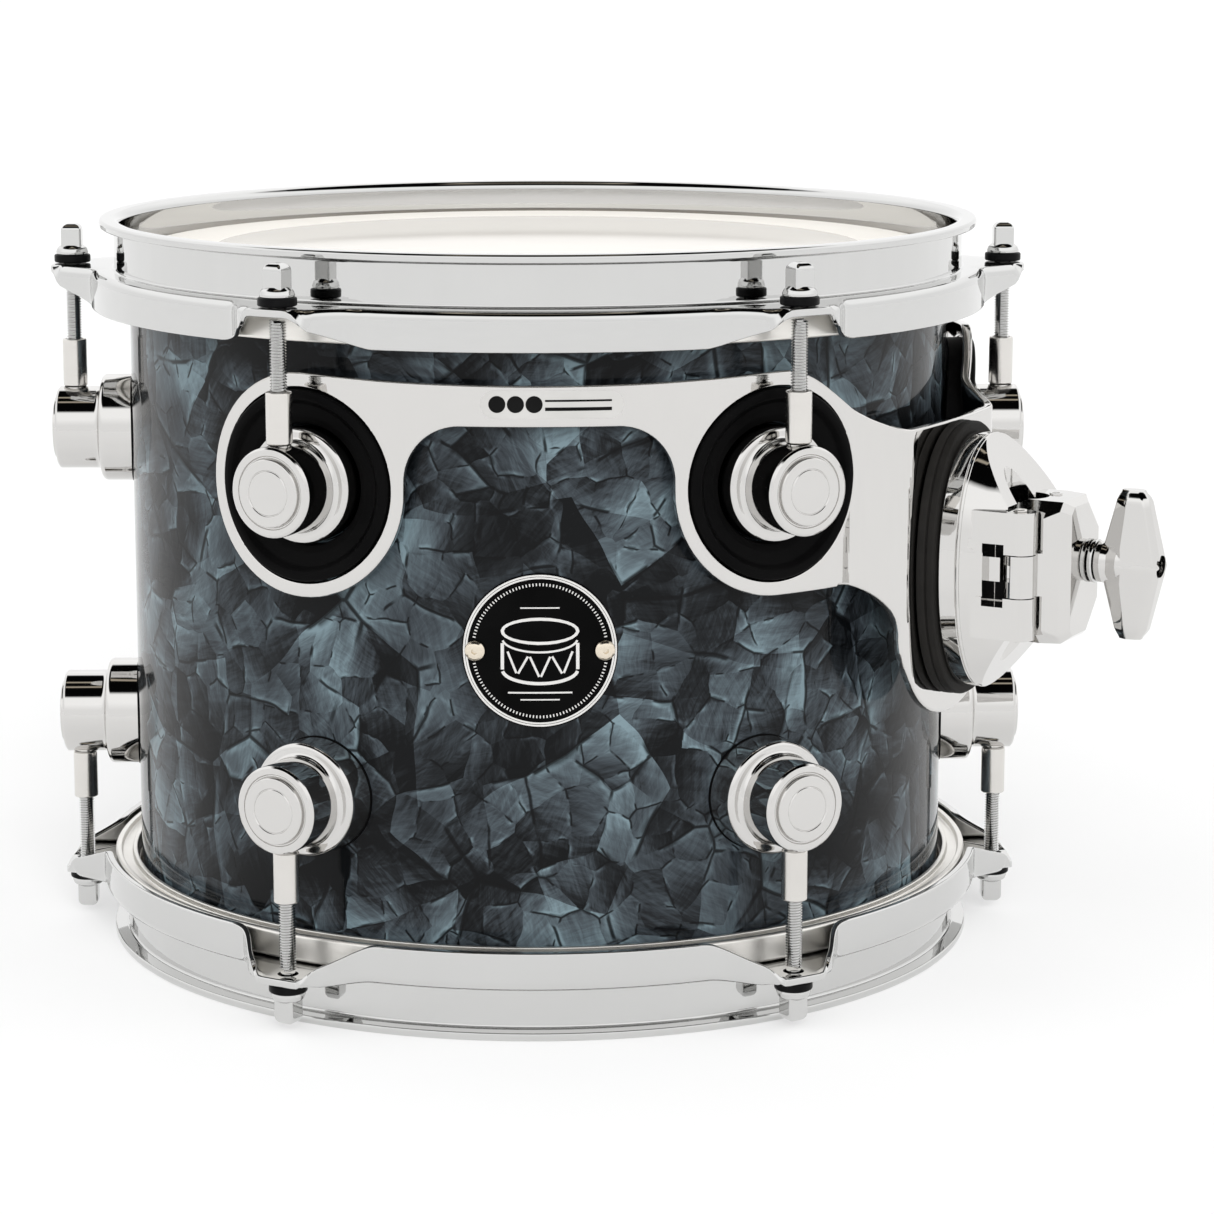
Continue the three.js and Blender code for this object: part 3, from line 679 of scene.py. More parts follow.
def bent_plate(name, outlines, thickness, edge, radius, middle_z, radius_at=None):
    """A plate drawn flat as outlines of (arc, height) and bent round the drum's axis at its outside
    radius. An outline inside another is a hole. radius_at gives a radius that changes by angle."""
    curve = bpy.data.curves.new(name, "CURVE")
    curve.dimensions = "2D"
    curve.fill_mode = "BOTH"
    curve.extrude = thickness / 2 - edge
    curve.bevel_depth = edge
    curve.offset = -edge
    curve.bevel_resolution = 2 if edge > 0.2 else 0
    for outline in outlines:
        spline = curve.splines.new("POLY")
        spline.points.add(len(outline) - 1)
        for point, (x, y) in zip(spline.points, outline):
            point.co = (x, y, 0, 1)
        spline.use_cyclic_u = True
    work = new_object("work", curve)
    graph = bpy.context.evaluated_depsgraph_get()
    mesh = bpy.data.meshes.new_from_object(work.evaluated_get(graph), depsgraph=graph)
    bpy.data.objects.remove(work)
    bm = bmesh.new()
    bm.from_mesh(mesh)
    bmesh.ops.remove_doubles(bm, verts=bm.verts, dist=1e-4)
    bmesh.ops.dissolve_limit(bm, angle_limit=radians(0.5), verts=bm.verts, edges=bm.edges)
    xs = [v.co.x for v in bm.verts]
    cut = math.ceil(min(xs) / BEND_STEP) * BEND_STEP
    while cut < max(xs):
        parts = bm.verts[:] + bm.edges[:] + bm.faces[:]
        bmesh.ops.bisect_plane(bm, geom=parts, plane_co=(cut, 0, 0), plane_no=(1, 0, 0), dist=1e-5)
        cut += BEND_STEP
    for v in bm.verts:
        angle = v.co.x / radius
        r = (radius_at(abs(angle)) if radius_at else radius) - thickness / 2 + v.co.z
        v.co = Vector((r * math.cos(angle), r * math.sin(angle), middle_z + v.co.y)) * MM
    bm.to_mesh(mesh)
    bm.free()
    mesh.materials.clear()
    return tidied(mesh, 40)


# ---------------------------------------------------------------- shell, wrap, heads


def build_shell():
    upper = [
        (SHELL_R, -3.8, 1.2), (EDGE_R + 2.6, -2.3, 1.6), (EDGE_R, -0.8, 0.7),
        (SHELL_INNER_R, -3.6, 0.2),
    ]
    lower = [(r, -DRUM_DEPTH - z, c) for r, z, c in reversed(upper)]
    shell = turned("shell", rounded([*lower, *upper], steps=5), 240)
    piece("maple_shell", shell, "maple", stands_for=["shell"])
    low, high = -DRUM_DEPTH + 6.0, -6.0
    corners = [(WRAP_INNER_R, low), (WRAP_R, low, 0.3), (WRAP_R, high, 0.3), (WRAP_INNER_R, high)]
    wrap = turned("wrap", rounded(corners, steps=3), 240)
    piece("pearl_wrap_sleeve", wrap, "pearl", stands_for=["finish_wrap"])


def build_heads():
    under = [
        (0, -HEAD_FILM), (EDGE_R + 0.3, -HEAD_FILM, 1.0), (EDGE_R + 3.2, -2.1, 1.6),
        (125.9, -5.2, 1.5), (125.9, -12.0),
    ]
    over = [
        (126.4, -12.0), (126.4, -5.0, 2.0), (EDGE_R + 3.6, -1.6, 2.1),
        (EDGE_R + 0.5, 0, 1.5), (0, 0),
    ]
    profile = rounded([*under, *over], closed=False, steps=5)
    for side, look in (("batter", "coated_film"), ("resonant", "clear_film")):
        film = turned("film", profile, 192, 50)
        place = station(0, side == "resonant")
        piece(f"{side}_head_skin", film, look, place, [f"{side}_head_film"])


def build_flesh_hoops():
    """The head's rolled aluminium channel, open below where the film is locked in."""
    top = STEP_TOP - SHEET - 0.3
    corners = [
        (126.7, -16.3, 0.5), (128.2, -16.3, 0.4), (128.2, -14.6, 0.5), (131.6, -14.6, 0.5),
        (131.6, -16.3, 0.4), (133.6, -16.3, 0.9), (133.6, top, 1.3), (126.7, top, 0.8),
    ]
    profile = rounded(corners)
    for side in ("batter", "resonant"):
        hoop = turned("flesh_hoop", profile, 192)
        name, body = f"{side}_flesh_hoop", f"{side}_hoop_set"
        piece(f"{name}_channel", hoop, "aluminium", station(0, side == "resonant"), [name], body)


# ---------------------------------------------------------------- hoops


def hoop_section(angle):
    """The hoop's section at an angle in degrees from the nearest rod: (radius, height) points."""
    off = abs(angle)
    reach = mix(EAR_R, SKIRT_R, smooth_step(EAR_FLAT, EAR_END + 0.5, off))
    bend = smooth_step(EAR_FLAT, EAR_BENT, off) * math.pi / 2
    outer_bend, inner_bend = SHEET + 0.35, 0.35
    drop = STEP_TOP - outer_bend - SKIRT_BOTTOM
    length = mix(outer_bend, drop, smooth_step(EAR_FLAT + 0.4, EAR_END + 1.5, off))
    overhang = outer_bend * math.sin(bend) + length * math.cos(bend)
    centre = (reach - overhang, STEP_TOP - outer_bend)

    def on_bend(radius, turn, along):
        return (
            centre[0] + radius * math.sin(turn) + along * math.cos(turn),
            centre[1] + radius * math.cos(turn) - along * math.sin(turn),
        )

    lip = [
        (HOOP_WALL_R - SHEET, HOOP_CREST, 2.6), (HOOP_LIP_R, HOOP_CREST, 1.15),
        (HOOP_LIP_R - 0.3, HOOP_CREST - SHEET - 0.1, 0.5),
        (HOOP_WALL_R, HOOP_CREST - SHEET - 0.5, 0.9), (HOOP_WALL_R, STEP_TOP, 0.9),
    ]
    arc = [0.0, 0.25, 0.5, 0.75, 1.0]
    outside = [on_bend(outer_bend, bend * k, 0.06 * i) for i, k in enumerate(arc)]
    tip = [(*on_bend(outer_bend, bend, length), 0.6), (*on_bend(inner_bend, bend, length), 0.6)]
    inside = [on_bend(inner_bend, bend * k, 0.06 * i) for i, k in reversed(list(enumerate(arc)))]
    corner = [(HOOP_WALL_R - SHEET, STEP_TOP - SHEET, 0.3)]
    return rounded([*lip, *outside, *tip, *inside, *corner])


def build_hoops():
    near = np.arange(-11.0, 11.01, 0.5)
    far = np.arange(13.0, 29.0, 2.25)
    offsets = [*(-far[::-1]), *near, *far, 30.0]
    loops = []
    for azimuth in STATIONS:
        for offset in offsets:
            angle = radians(azimuth + offset)
            section = hoop_section(float(offset))
            loops.append([(r * math.cos(angle), r * math.sin(angle), z) for r, z in section])
    hoop = lofted("hoop", loops, closed_run=True, sharp=50)
    holes = []
    for azimuth in STATIONS:
        hole = moved(bar(3.0, STEP_TOP - 6, STEP_TOP + 4, 40), u=ROD_CIRCLE_R)
        hole.transform(Matrix.Rotation(radians(azimuth), 4, "Z"))
        holes.append(hole)
    hoop = tidied(combined(hoop, cuts=holes), 50)
    for side in ("batter", "resonant"):
        place = station(0, side == "resonant")
        piece(f"{side}_hoop_pressing", hoop, "chrome", place, [f"{side}_hoop"], f"{side}_hoop_set")


# ---------------------------------------------------------------- lugs, nuts and rods


def thread_mesh(name, radius, pitch, low, high, sides=16):
    """A threaded bar: a strip of ridges wound up the bar, closed at each end."""
    root = radius - 0.61 * pitch
    ridge = [(0.0, root), (0.16, root), (0.5, radius), (0.66, radius)]
    columns = sides * int((high - low) / pitch - 1)
    vertices = []
    for c in range(columns + sides + 1):
        angle = 2 * math.pi * c / sides
        for share, r in ridge:
            z = low + (c / sides + share) * pitch
            vertices.append((r * math.cos(angle), r * math.sin(angle), z))
    rows = len(ridge)
    faces = []
    for c in range(columns):
        for j in range(rows):
            here, ahead = c * rows + j, (c + 1) * rows + j
            over = here + 1 if j < rows - 1 else (c + sides) * rows
            over_ahead = ahead + 1 if j < rows - 1 else (c + 1 + sides) * rows
            faces.append((here, ahead, over_ahead, over))
    back_down = range(rows - 1, 0, -1)
    start = [c * rows for c in range(sides + 1)] + [*back_down]
    end = [(columns + c) * rows for c in range(sides + 1)]
    end_level = vertices[end[-1]][2]
    end += [columns * rows + j for j in back_down]
    vertices += [(0, 0, low), (0, 0, end_level)]
    for loop, tip in ((start, len(vertices) - 2), (end, len(vertices) - 1)):
        faces += [(loop[k], loop[(k + 1) % len(loop)], tip) for k in range(len(loop))]
    used = sorted({v for face in faces for v in face})
    place = {old: new for new, old in enumerate(used)}
    faces = [tuple(place[v] for v in face) for face in faces]
    return mesh_of(name, [vertices[v] for v in used], faces, 25)


def squared(z, half, corner):
    """A square loop with rounded corners at one height."""
    signs = ((1, -1), (1, 1), (-1, 1), (-1, -1))
    corners = [(half * x, half * y, corner) for x, y in signs]
    return [(x, y, z) for x, y in rounded(corners, steps=3)]


def joined(name, *meshes):
    """One mesh from several, each kept as its own shell."""
    bm = bmesh.new()
    for mesh in meshes:
        bm.from_mesh(mesh)
    result = bpy.data.meshes.new(name)
    bm.to_mesh(result)
    bm.free()
    result.polygons.foreach_set("use_smooth", [True] * len(result.polygons))
    result.set_sharp_from_angle(angle=radians(34))
    return result


def rod_meshes():
    """The chromed key rod and its black washer."""
    washer_top, thread_top = STEP_TOP + 2.7, -8.4
    collar_seat = washer_top + 0.02
    shank = thread_mesh("thread", ROD_R, ROD_PITCH, ROD_END, thread_top)
    neck = [
        (0, thread_top), (2.1, thread_top), (2.1, collar_seat), (4.8, collar_seat, 0.2),
        (4.95, washer_top + 0.8, 0.5), (4.5, washer_top + 2.0, 1.2),
        (3.2, washer_top + 2.9, 0.6), (0, washer_top + 3.0),
    ]
    collar = turned("collar", rounded(neck, closed=False, steps=3), 48)
    levels = [
        (washer_top + 1.2, 3.1), (ROD_HEAD_TOP - 2.0, 3.1), (ROD_HEAD_TOP - 1.3, 2.95),
        (ROD_HEAD_TOP - 0.55, 2.4), (ROD_HEAD_TOP - 0.1, 1.6), (ROD_HEAD_TOP, 0.9),
    ]
    head = lofted("head", [squared(z, half, 0.26 * half) for z, half in levels], sharp=42)
    rod = moved(joined("rod", shank, collar, head), u=ROD_CIRCLE_R)
    ring = [
        (2.55, STEP_TOP + 0.3, 0.3), (5.5, STEP_TOP + 0.3, 0.5), (5.5, washer_top, 0.5),
        (2.55, washer_top, 0.3),
    ]
    washer = moved(turned("washer", rounded(ring, steps=3), 48), u=ROD_CIRCLE_R)
    return rod, washer


def lug_meshes():
    """The round lug, its gasket, the swivel nut in its turret and its screw inside the shell."""
    profile = [
        (0, 119.5), (16.5, 119.5), (16.5, 135.2, 1.7), (12.7, 135.2, 1.5),
        (12.7, 148.1, 0.5), (12.0, 148.75, 0.3), (10.35, 148.75, 0.2), (10.2, 148.2, 0.2),
        (9.75, 148.2, 0.2), (9.45, 149.8, 0.5), (6.6, 149.8, 0.15), (6.35, 149.45, 0.15),
        (6.05, 149.75, 0.15), (0, 149.8),
    ]
    body = outwards(turned("lug", rounded(profile, closed=False)))
    body = moved(body, z=LUG_Z)
    seat = bar(WRAP_R + 0.5, LUG_Z - 30, LUG_Z + 30, 240)
    pocket_line = [(0, -54.5), (4.8, -54.5), (4.8, -48.9), (3.4, -48.9), (3.4, -36), (0, -36)]
    pocket = moved(turned("tool", pocket_line, 48), u=ROD_CIRCLE_R)
    body = bevelled(combined(body, cuts=[seat, pocket]), 0.18, 2, 48, 40)

    under, over = WRAP_R + 0.02, WRAP_R + 0.47
    ring = [(4.0, under), (16.75, under), (16.75, over), (4.0, over)]
    gasket = saddle("gasket", ring, 72)

    sleeve = [
        (2.75, -52.0), (4.4, -52.0, 0.4), (4.4, -49.2, 0.4), (3.05, -49.2, 0.2),
        (3.05, -43.9, 0.1), (3.7, -43.3, 0.3), (3.7, -29.0, 0.45), (2.75, -29.0, 0.2),
    ]
    nut = moved(turned("nut", rounded(sleeve), 56), u=ROD_CIRCLE_R)

    inner = SHELL_INNER_R
    head = [
        (0, inner - 5.6), (1.3, inner - 5.5, 0.2), (1.5, inner - 4.3), (1.6, inner - 5.4),
        (3.2, inner - 5.0, 1.2), (4.3, inner - 3.2, 0.7), (4.3, inner - 1.9, 0.3),
        (7.2, inner - 1.9, 0.3), (7.2, inner - 0.35), (2.5, inner - 0.35),
        (2.5, inner + 1.5), (0, inner + 1.5),
    ]
    screw = outwards(turned("screw", rounded(head, closed=False, steps=3), 48))
    return body, gasket, nut, moved(screw, z=LUG_Z)


def saddle(name, profile, sides, sharp=36):
    """A ring round the lug's screw that sits on a cylinder about the drum's axis: the profile
    is a loop of (distance from the ring's axis, radius from the drum's axis)."""
    loops = []
    for k in range(sides):
        angle = 2 * math.pi * k / sides
        loop = []
        for distance, radius in profile:
            t = distance * math.cos(angle)
            loop.append((math.sqrt(radius**2 - t**2), t, LUG_Z + distance * math.sin(angle)))
        loops.append(loop)
    return lofted(name, loops, closed_run=True, sharp=sharp)


def build_stations():
    casting, gasket, nut, screw = lug_meshes()
    rod, washer = rod_meshes()
    parts = (
        ("lug_casting", casting, "cast_chrome", "lug"),
        ("lug_gasket", gasket, "rubber", None),
        ("lug_nut", nut, "satin", "swivel_nut"),
        ("lug_screw", screw, "zinc", None),
        ("key_rod", rod, "chrome", "tension_rod"),
        ("rod_washer", washer, "nylon", None),
    )
    for side, level in (("batter", "upper"), ("resonant", "lower")):
        for index, azimuth in enumerate(STATIONS, start=1):
            place = station(azimuth, side == "resonant")
            for name, mesh, look, node_name in parts:
                body = f"{side}_rod_{index}" if mesh in (rod, washer) else "drum"
                stands_for = [f"{level}_{node_name}_{index}"] if node_name else []
                piece(f"{level}_{name}_{index}", mesh, look, place, stands_for, body)


# ---------------------------------------------------------------- badge and label


def ribbon(points, width):
    """The closed outline of a flat strip along an open line of points."""
    line = [np.array(p, float) for p in points]
    left, right = [], []
    for i, here in enumerate(line):
        back = here - line[i - 1] if i else line[1] - here
        ahead = line[i + 1] - here if i < len(line) - 1 else back
        back, ahead = back / np.linalg.norm(back), ahead / np.linalg.norm(ahead)
        along = (back + ahead) / np.linalg.norm(back + ahead)
        side = np.array((-along[1], along[0]))
        reach = width / 2 / max(float(along @ back), 0.4)
        left.append(tuple(here + side * reach))
        right.append(tuple(here - side * reach))
    return left + right[::-1]


def oval_arc(centre, half_x, half_y, start, end):
    steps = 24
    angles = [radians(mix(start, end, k / steps)) for k in range(steps + 1)]
    return [(centre[0] + half_x * math.cos(a), centre[1] + half_y * math.sin(a)) for a in angles]


def drum_motif():
    """A plain outline of a drum, as groups of outlines that are drawn one group at a time."""
    line, half, top, bottom = 0.95, 11.0, 5.6, -5.4
    sweep = half - line / 2
    rim = [oval_arc((0, top), half, 3.9, 0, 356), oval_arc((0, top), half - line, 3.0, 0, 356)]
    groups = [
        rim,
        [ribbon(oval_arc((0, top - 2.1), sweep, 3.9, 188, 352), 0.6)],
        [ribbon(oval_arc((0, bottom), sweep, 3.9, 186, 354), line)],
        [ribbon([(-sweep, top - 3.4), (-sweep, bottom + 0.1)], line)],
        [ribbon([(sweep, top - 3.4), (sweep, bottom + 0.1)], line)],
    ]
    laces = [(-9.3, 0.4), (-6.4, -6.9), (-3.1, -1.1), (0.0, -7.9)]
    laces += [(-x, z) for x, z in reversed(laces[:-1])]
    for first, second in zip(laces, laces[1:]):
        start = [mix(a, b, 0.08) for a, b in zip(first, second)]
        stop = [mix(a, b, 0.92) for a, b in zip(first, second)]
        groups.append([ribbon([start, stop], 0.65)])
    return groups


def badge_ticks():
    """A ring of short strokes that leaves room for the two screws."""
    count, half_width, inner, outer, screw_gap = 124, 0.17, 18.4, 19.2, 0.984
    ticks = []
    for k in range(count):
        angle = 2 * math.pi * k / count
        if abs(math.cos(angle)) > screw_gap:
            continue
        out = np.array((math.cos(angle), math.sin(angle)))
        side = np.array((-out[1], out[0])) * half_width
        corners = (out * inner - side, out * outer - side, out * outer + side, out * inner + side)
        ticks.append([tuple(p) for p in corners])
    return ticks


def silver_print(name, outlines, edge=0.02):
    return bent_plate(name, outlines, 0.12, edge, BADGE_FACE_R + 0.1, BADGE_Z)


def build_badge():
    place = station(BADGE_AZIMUTH)
    plate = bent_plate("badge", [circle((0, 0), BADGE_R, 128)], 0.85, 0.3, BADGE_FACE_R, BADGE_Z)
    piece("badge_plate", plate, "badge", place, ["badge"])
    rings = [circle((0, 0), r, 160) for r in (21.6, 21.05, 20.93, 20.4)]
    strips = [silver_print("strip", group) for group in drum_motif()]
    bars = [
        ribbon([(-half, z), (half, z)], width)
        for half, z, width in ((9.0, -11.9, 0.5), (5.5, -13.9, 0.4), (5.5, 12.2, 0.4))
    ]
    for name, mesh in (
        ("badge_rings", silver_print("rings", rings)),
        ("badge_ticks", silver_print("ticks", badge_ticks(), 0.01)),
        ("badge_motif", joined("motif", *strips)),
        ("badge_rules", silver_print("rules", bars)),
    ):
        piece(name, mesh, "silver_ink", place)

    seat = 127.0
    profile = [
        (0, 117.5), (1.0, 117.5), (1.3, 118.2), (1.3, seat), (2.95, seat, 0.15),
        (2.85, seat + 0.7, 0.5), (2.1, seat + 1.35, 0.8), (1.35, seat + 1.58, 0.2),
        (0, seat + 1.6),
    ]
    button = outwards(turned("button", rounded(profile, closed=False), 48))
    socket = outwards(bar(0.92, seat + 0.5, seat + 3, 6))
    button = moved(tidied(combined(button, cuts=[socket]), 34), z=BADGE_Z)
    for index, angle in enumerate((-BADGE_SCREW_ANGLE, BADGE_SCREW_ANGLE), start=1):
        place = station(BADGE_AZIMUTH + angle)
        screw_node = [f"badge_screw_{index}"]
        piece(f"badge_button_{index}", button, "champagne", place, screw_node)


def build_label():
    """A plain pale label on the bracket with dots and rules in place of print."""
    place = station(BADGE_AZIMUTH)
    middle, half, tall = 3.6, 19.8, 3.9
    right_end = oval_arc((middle + half - tall, 0), tall, tall, -90, 90)
    left_end = oval_arc((middle - half + tall, 0), tall, tall, 90, 270)
    top = BRACKET_R + 0.1
    label = bent_plate("label", [right_end + left_end], 0.09, 0.01, top, LABEL_Z)
    piece("bracket_label", label, "label", place)
    marks = [circle((middle - half + 4.6 + 5.1 * k, 0.1), 2.35, 40) for k in range(3)]
    for z, width in ((1.1, 0.55), (-1.2, 0.95)):
        marks.append(ribbon([(middle - 2.0, z), (middle + 16.4, z)], width))
    marks = bent_plate("marks", marks, 0.05, 0.01, top + 0.05, LABEL_Z)
    piece("label_marks", marks, "ink", place)


# ---------------------------------------------------------------- suspension bracket

ARCH_TOP = -38.0
ARCH_FILLET = 16.2
ARCH_FILLET_Z = ARCH_TOP - ARCH_FILLET
ARCH_FILLET_RUN = math.sqrt((RING_R + ARCH_FILLET) ** 2 - (LUG_Z - ARCH_FILLET_Z) ** 2)
NEAR_RING = RING_PITCH / 2
FAR_RING = RING_PITCH * 1.5
PAD_FILLET = 17.0
PAD_FILLET_Z = -105.0
PAD_BOTTOM_Z = -105.0
PAD_ROUND = 0.885


def chord(radius, distance):
    return math.sqrt(max(radius**2 - distance**2, 0))


def plate_top(arc):
    valley, valley_half, ring_start = -44.4, 26, 67
    if arc > FAR_RING:
        return LUG_Z + chord(RING_R, arc - FAR_RING)
    if arc > NEAR_RING:
        sag = 1 - ((arc - RING_PITCH) / (RING_PITCH / 2)) ** 2
        return LUG_Z + RING_R - 1.7 * sag
    if arc > valley_half:
        return mix(valley, LUG_Z + RING_R, smooth_step(valley_half, ring_start, arc))
    return valley - 0.5 * (1 - (arc / valley_half) ** 2)


def plate_bottom(arc):
    if arc > FAR_RING - RING_R:
        return LUG_Z - chord(RING_R, arc - FAR_RING)
    from_middle = abs(arc - RING_PITCH)
    arch_half = RING_PITCH / 2 - ARCH_FILLET_RUN
    if from_middle < arch_half:
        return ARCH_TOP
    if arc > NEAR_RING + RING_R:
        return ARCH_FILLET_Z + chord(ARCH_FILLET, from_middle - arch_half)
    if arc > NEAR_RING:
        return LUG_Z - chord(RING_R, arc - NEAR_RING)
    if arc > PAD_HALF + PAD_FILLET:
        return LUG_Z - RING_R
    if arc > PAD_HALF:
        return PAD_FILLET_Z + chord(PAD_FILLET, arc - PAD_HALF - PAD_FILLET)
    return PAD_BOTTOM_Z - PAD_ROUND * chord(PAD_HALF, arc)


def plate_radius(angle):
    """The bracket's outside radius: round the shell, but flat where the clamp sits."""
    flat_end, round_start = radians(11), radians(18.3)
    flat = PAD_U / math.cos(min(angle, radians(30)))
    return mix(flat, BRACKET_R, smooth_step(flat_end, round_start, angle))


def plate_outline():
    columns = list(np.arange(0.0, FAR_RING + RING_R, 3.0))
    arcs = [
        (0, PAD_HALF), (PAD_HALF + PAD_FILLET, -PAD_FILLET), (NEAR_RING, RING_R),
        (NEAR_RING + ARCH_FILLET_RUN, -ARCH_FILLET),
        (FAR_RING - ARCH_FILLET_RUN, ARCH_FILLET), (FAR_RING, -RING_R), (FAR_RING, RING_R),
    ]
    for centre, radius in arcs:
        columns += [centre + radius * math.sin(radians(a)) for a in range(0, 90, 5)]
    columns += [PAD_HALF - 0.004, PAD_HALF + 0.02]
    columns = sorted(c for c in columns if c < FAR_RING + RING_R - 0.05)
    apart = [c for i, c in enumerate(columns) if i == 0 or c - columns[i - 1] > 0.03]
    end = (FAR_RING + RING_R, LUG_Z)
    top = [(arc, plate_top(arc)) for arc in apart]
    bottom = [(arc, plate_bottom(arc)) for arc in apart]
    half = [*top, end, *reversed(bottom)]
    other = [(-arc, z) for arc, z in reversed(half) if arc > 1e-6]
    return half + other


def build_bracket():
    outline = [(arc, z - LUG_Z) for arc, z in plate_outline()]
    holes = []
    for middle in (-FAR_RING, -NEAR_RING, NEAR_RING, FAR_RING):
        ring = circle((0, 0), GROMMET_R + 0.3, 128)
        holes.append([(middle + BRACKET_R * math.asin(t / BRACKET_R), z) for t, z in ring])
    plate = bent_plate("bracket", [outline, *holes], PLATE, 0.75, BRACKET_R, LUG_Z, plate_radius)
    place = station(BRACKET_AZIMUTH)
    piece("suspension_plate", plate, "bracket_chrome", place, ["suspension_bracket"])

    section = [
        (17.2, 126.2, 0.4), (27.2, 126.2, 0.4), (27.2, 133.2, 0.3), (27.0, 134.5, 0.9),
        (24.6, 134.7, 1.6), (22.9, 132.4, 1.4), (19.5, 131.6, 1.5), (17.2, 130.4, 0.8),
    ]
    grommet = saddle("grommet", rounded(section), 120, sharp=60)
    for index, azimuth in enumerate((-120, -60, 0, 60), start=1):
        place = station(azimuth)
        grommet_node = [f"bracket_grommet_{index}"]
        piece(f"rubber_grommet_{index}", grommet, "rubber", place, grommet_node)


# ---------------------------------------------------------------- L-arm clamp


def oval(u, half_t, half_z):
    """A loop of the clamp's rounded oval at a distance u."""
    power, sides = 2.2, 112
    loop = []
    for k in range(sides):
        angle = 2 * math.pi * k / sides
        c, s = math.cos(angle), math.sin(angle)
        t = half_t * math.copysign(abs(c) ** (2 / power), c)
        z = half_z * math.copysign(abs(s) ** (2 / power), s)
        loop.append((u, t, CLAMP_Z + z))
    return loop


def build_clamp_gasket():
    """A rubber gasket with a groove between its two ribs."""
    rise = [
        (0.3, 0.7), (0.5, 0.2), (0.9, 0.0), (2.5, 0.0), (2.85, 0.2), (3.05, 0.7),
        (3.35, 0.7), (3.55, 0.2), (3.9, 0.1), (5.3, 0.1), (5.8, 0.4), (6.0, 0.9),
    ]
    loops = [oval(PAD_U + u, 27.2 - inset, 40.4 - inset) for u, inset in rise]
    gasket = lofted("clamp_gasket", loops, sharp=60)
    place = station(BRACKET_AZIMUTH)
    piece("ribbed_gasket", gasket, "gasket_rubber", place, ["clamp_gasket"])


def knuckle(low, high):
    return moved(bar(KNUCKLE_R, low, high, 64), u=HINGE_U, t=HINGE_T)


def pin_bore():
    return moved(bar(2.2, -120, -50, 48), u=HINGE_U, t=HINGE_T)


def arm_passage():
    return moved(bar(ARM_R, -140, -30, 64), u=SPLIT_U, t=ARM_T)


def facet_tool(sign):
    """A wedge that leaves one flat facet from the dome's ridge to its front edge."""
    start_u, start_half, fall = 152.5, 37.2, 1.456
    line = [(u, start_half + fall * (start_u - u)) for u in (140.0, 172.0)]
    profile = [*line, (172.0, 70.0), (140.0, 70.0)]
    loops = [[(u, t, CLAMP_Z + sign * half) for u, half in profile] for t in (-40, 40)]
    return lofted("tool", loops)


def build_clamp_base():
    foot, ridge = 146.2, 152.2
    front = SPLIT_U - 0.15
    rise = [
        (foot, 24.7, 36.9), (foot + 0.25, 25.1, 37.3), (foot + 0.7, 25.2, 37.4),
        (ridge - 0.75, 25.15, 37.35), (ridge - 0.6, 24.95, 37.15),
        (ridge - 0.45, 25.15, 37.35), (ridge, 25.3, 37.5), (ridge + 0.45, 25.15, 37.35),
        (ridge + 0.6, 24.95, 37.15), (ridge + 0.75, 25.1, 37.3), (ridge + 1.2, 25.0, 37.2),
        (154.5, 24.75, 36.7), (156.5, 24.4, 35.9), (158.5, 23.9, 35.0),
        (160.5, 23.3, 34.4), (162.5, 22.5, 34.0), (front - 0.5, 21.7, 33.8),
        (front, 21.4, 33.7),
    ]
    dome = lofted("base", [oval(*level) for level in rise], sharp=40)
    top, upper, lower, bottom = KNUCKLE_ENDS
    joins = []
    for low, high in ((upper + 0.15, top), (bottom, lower - 0.15)):
        web = block([156, HINGE_U], [HINGE_T - KNUCKLE_R + 0.1, HINGE_T + 3.5], [low, high])
        joins += [knuckle(low, high), web]
    room = moved(bar(KNUCKLE_R + 0.6, lower - 0.15, upper + 0.15, 64), u=HINGE_U, t=HINGE_T)
    base = combined(dome, cuts=[facet_tool(1), facet_tool(-1)])
    window_u, window_t = 159.4, -14.0
    window = [lower - 2.8, upper + 3.0]
    cuts = [
        room,
        block([SPLIT_U - 3, 175], [-30, -15.4], [lower - 0.15, upper + 0.15]),
        block([window_u, SPLIT_U + 1], [-30, window_t], window),
        arm_passage(),
        outwards(moved(bar(3.9, 148, 180, 48), u=-STUD_Z, t=STUD_T)),
        pin_bore(),
    ]
    base = combined(base, cuts=cuts, joins=joins)
    tongue = block([158.9, 163.8], [-21.0, -13.5], [-87.6, -80.6])
    base = bevelled(combined(base, joins=[tongue]), 0.28, 2, 34, 38)
    place = station(BRACKET_AZIMUTH)
    piece("clamp_base_casting", base, "cast_chrome", place, ["clamp_base"])
    # A dark plate in washer nylon at the bottom of the window's recess: painted shade for the shadow deep
    # in the recess, not a part of the clamp.
    level = [window[0] + 0.3, window[1] - 0.3]
    painted_shade_plate = block([window_u + 0.2, SPLIT_U - 0.3], [window_t - 0.35, window_t - 0.02], level)
    piece("clamp_window_painted_shade_plate", bevelled(painted_shade_plate, 0.1), "nylon", place)


def octagon(u, low_t, high_t, half_z, high_cut, low_cut):
    corners = [
        (high_t, half_z - high_cut), (high_t - high_cut, half_z),
        (low_t + low_cut, half_z), (low_t, half_z - low_cut), (low_t, low_cut - half_z),
        (low_t + low_cut, -half_z), (high_t - high_cut, -half_z),
        (high_t, high_cut - half_z),
    ]
    return [(u, t, CLAMP_Z + z) for t, z in corners]


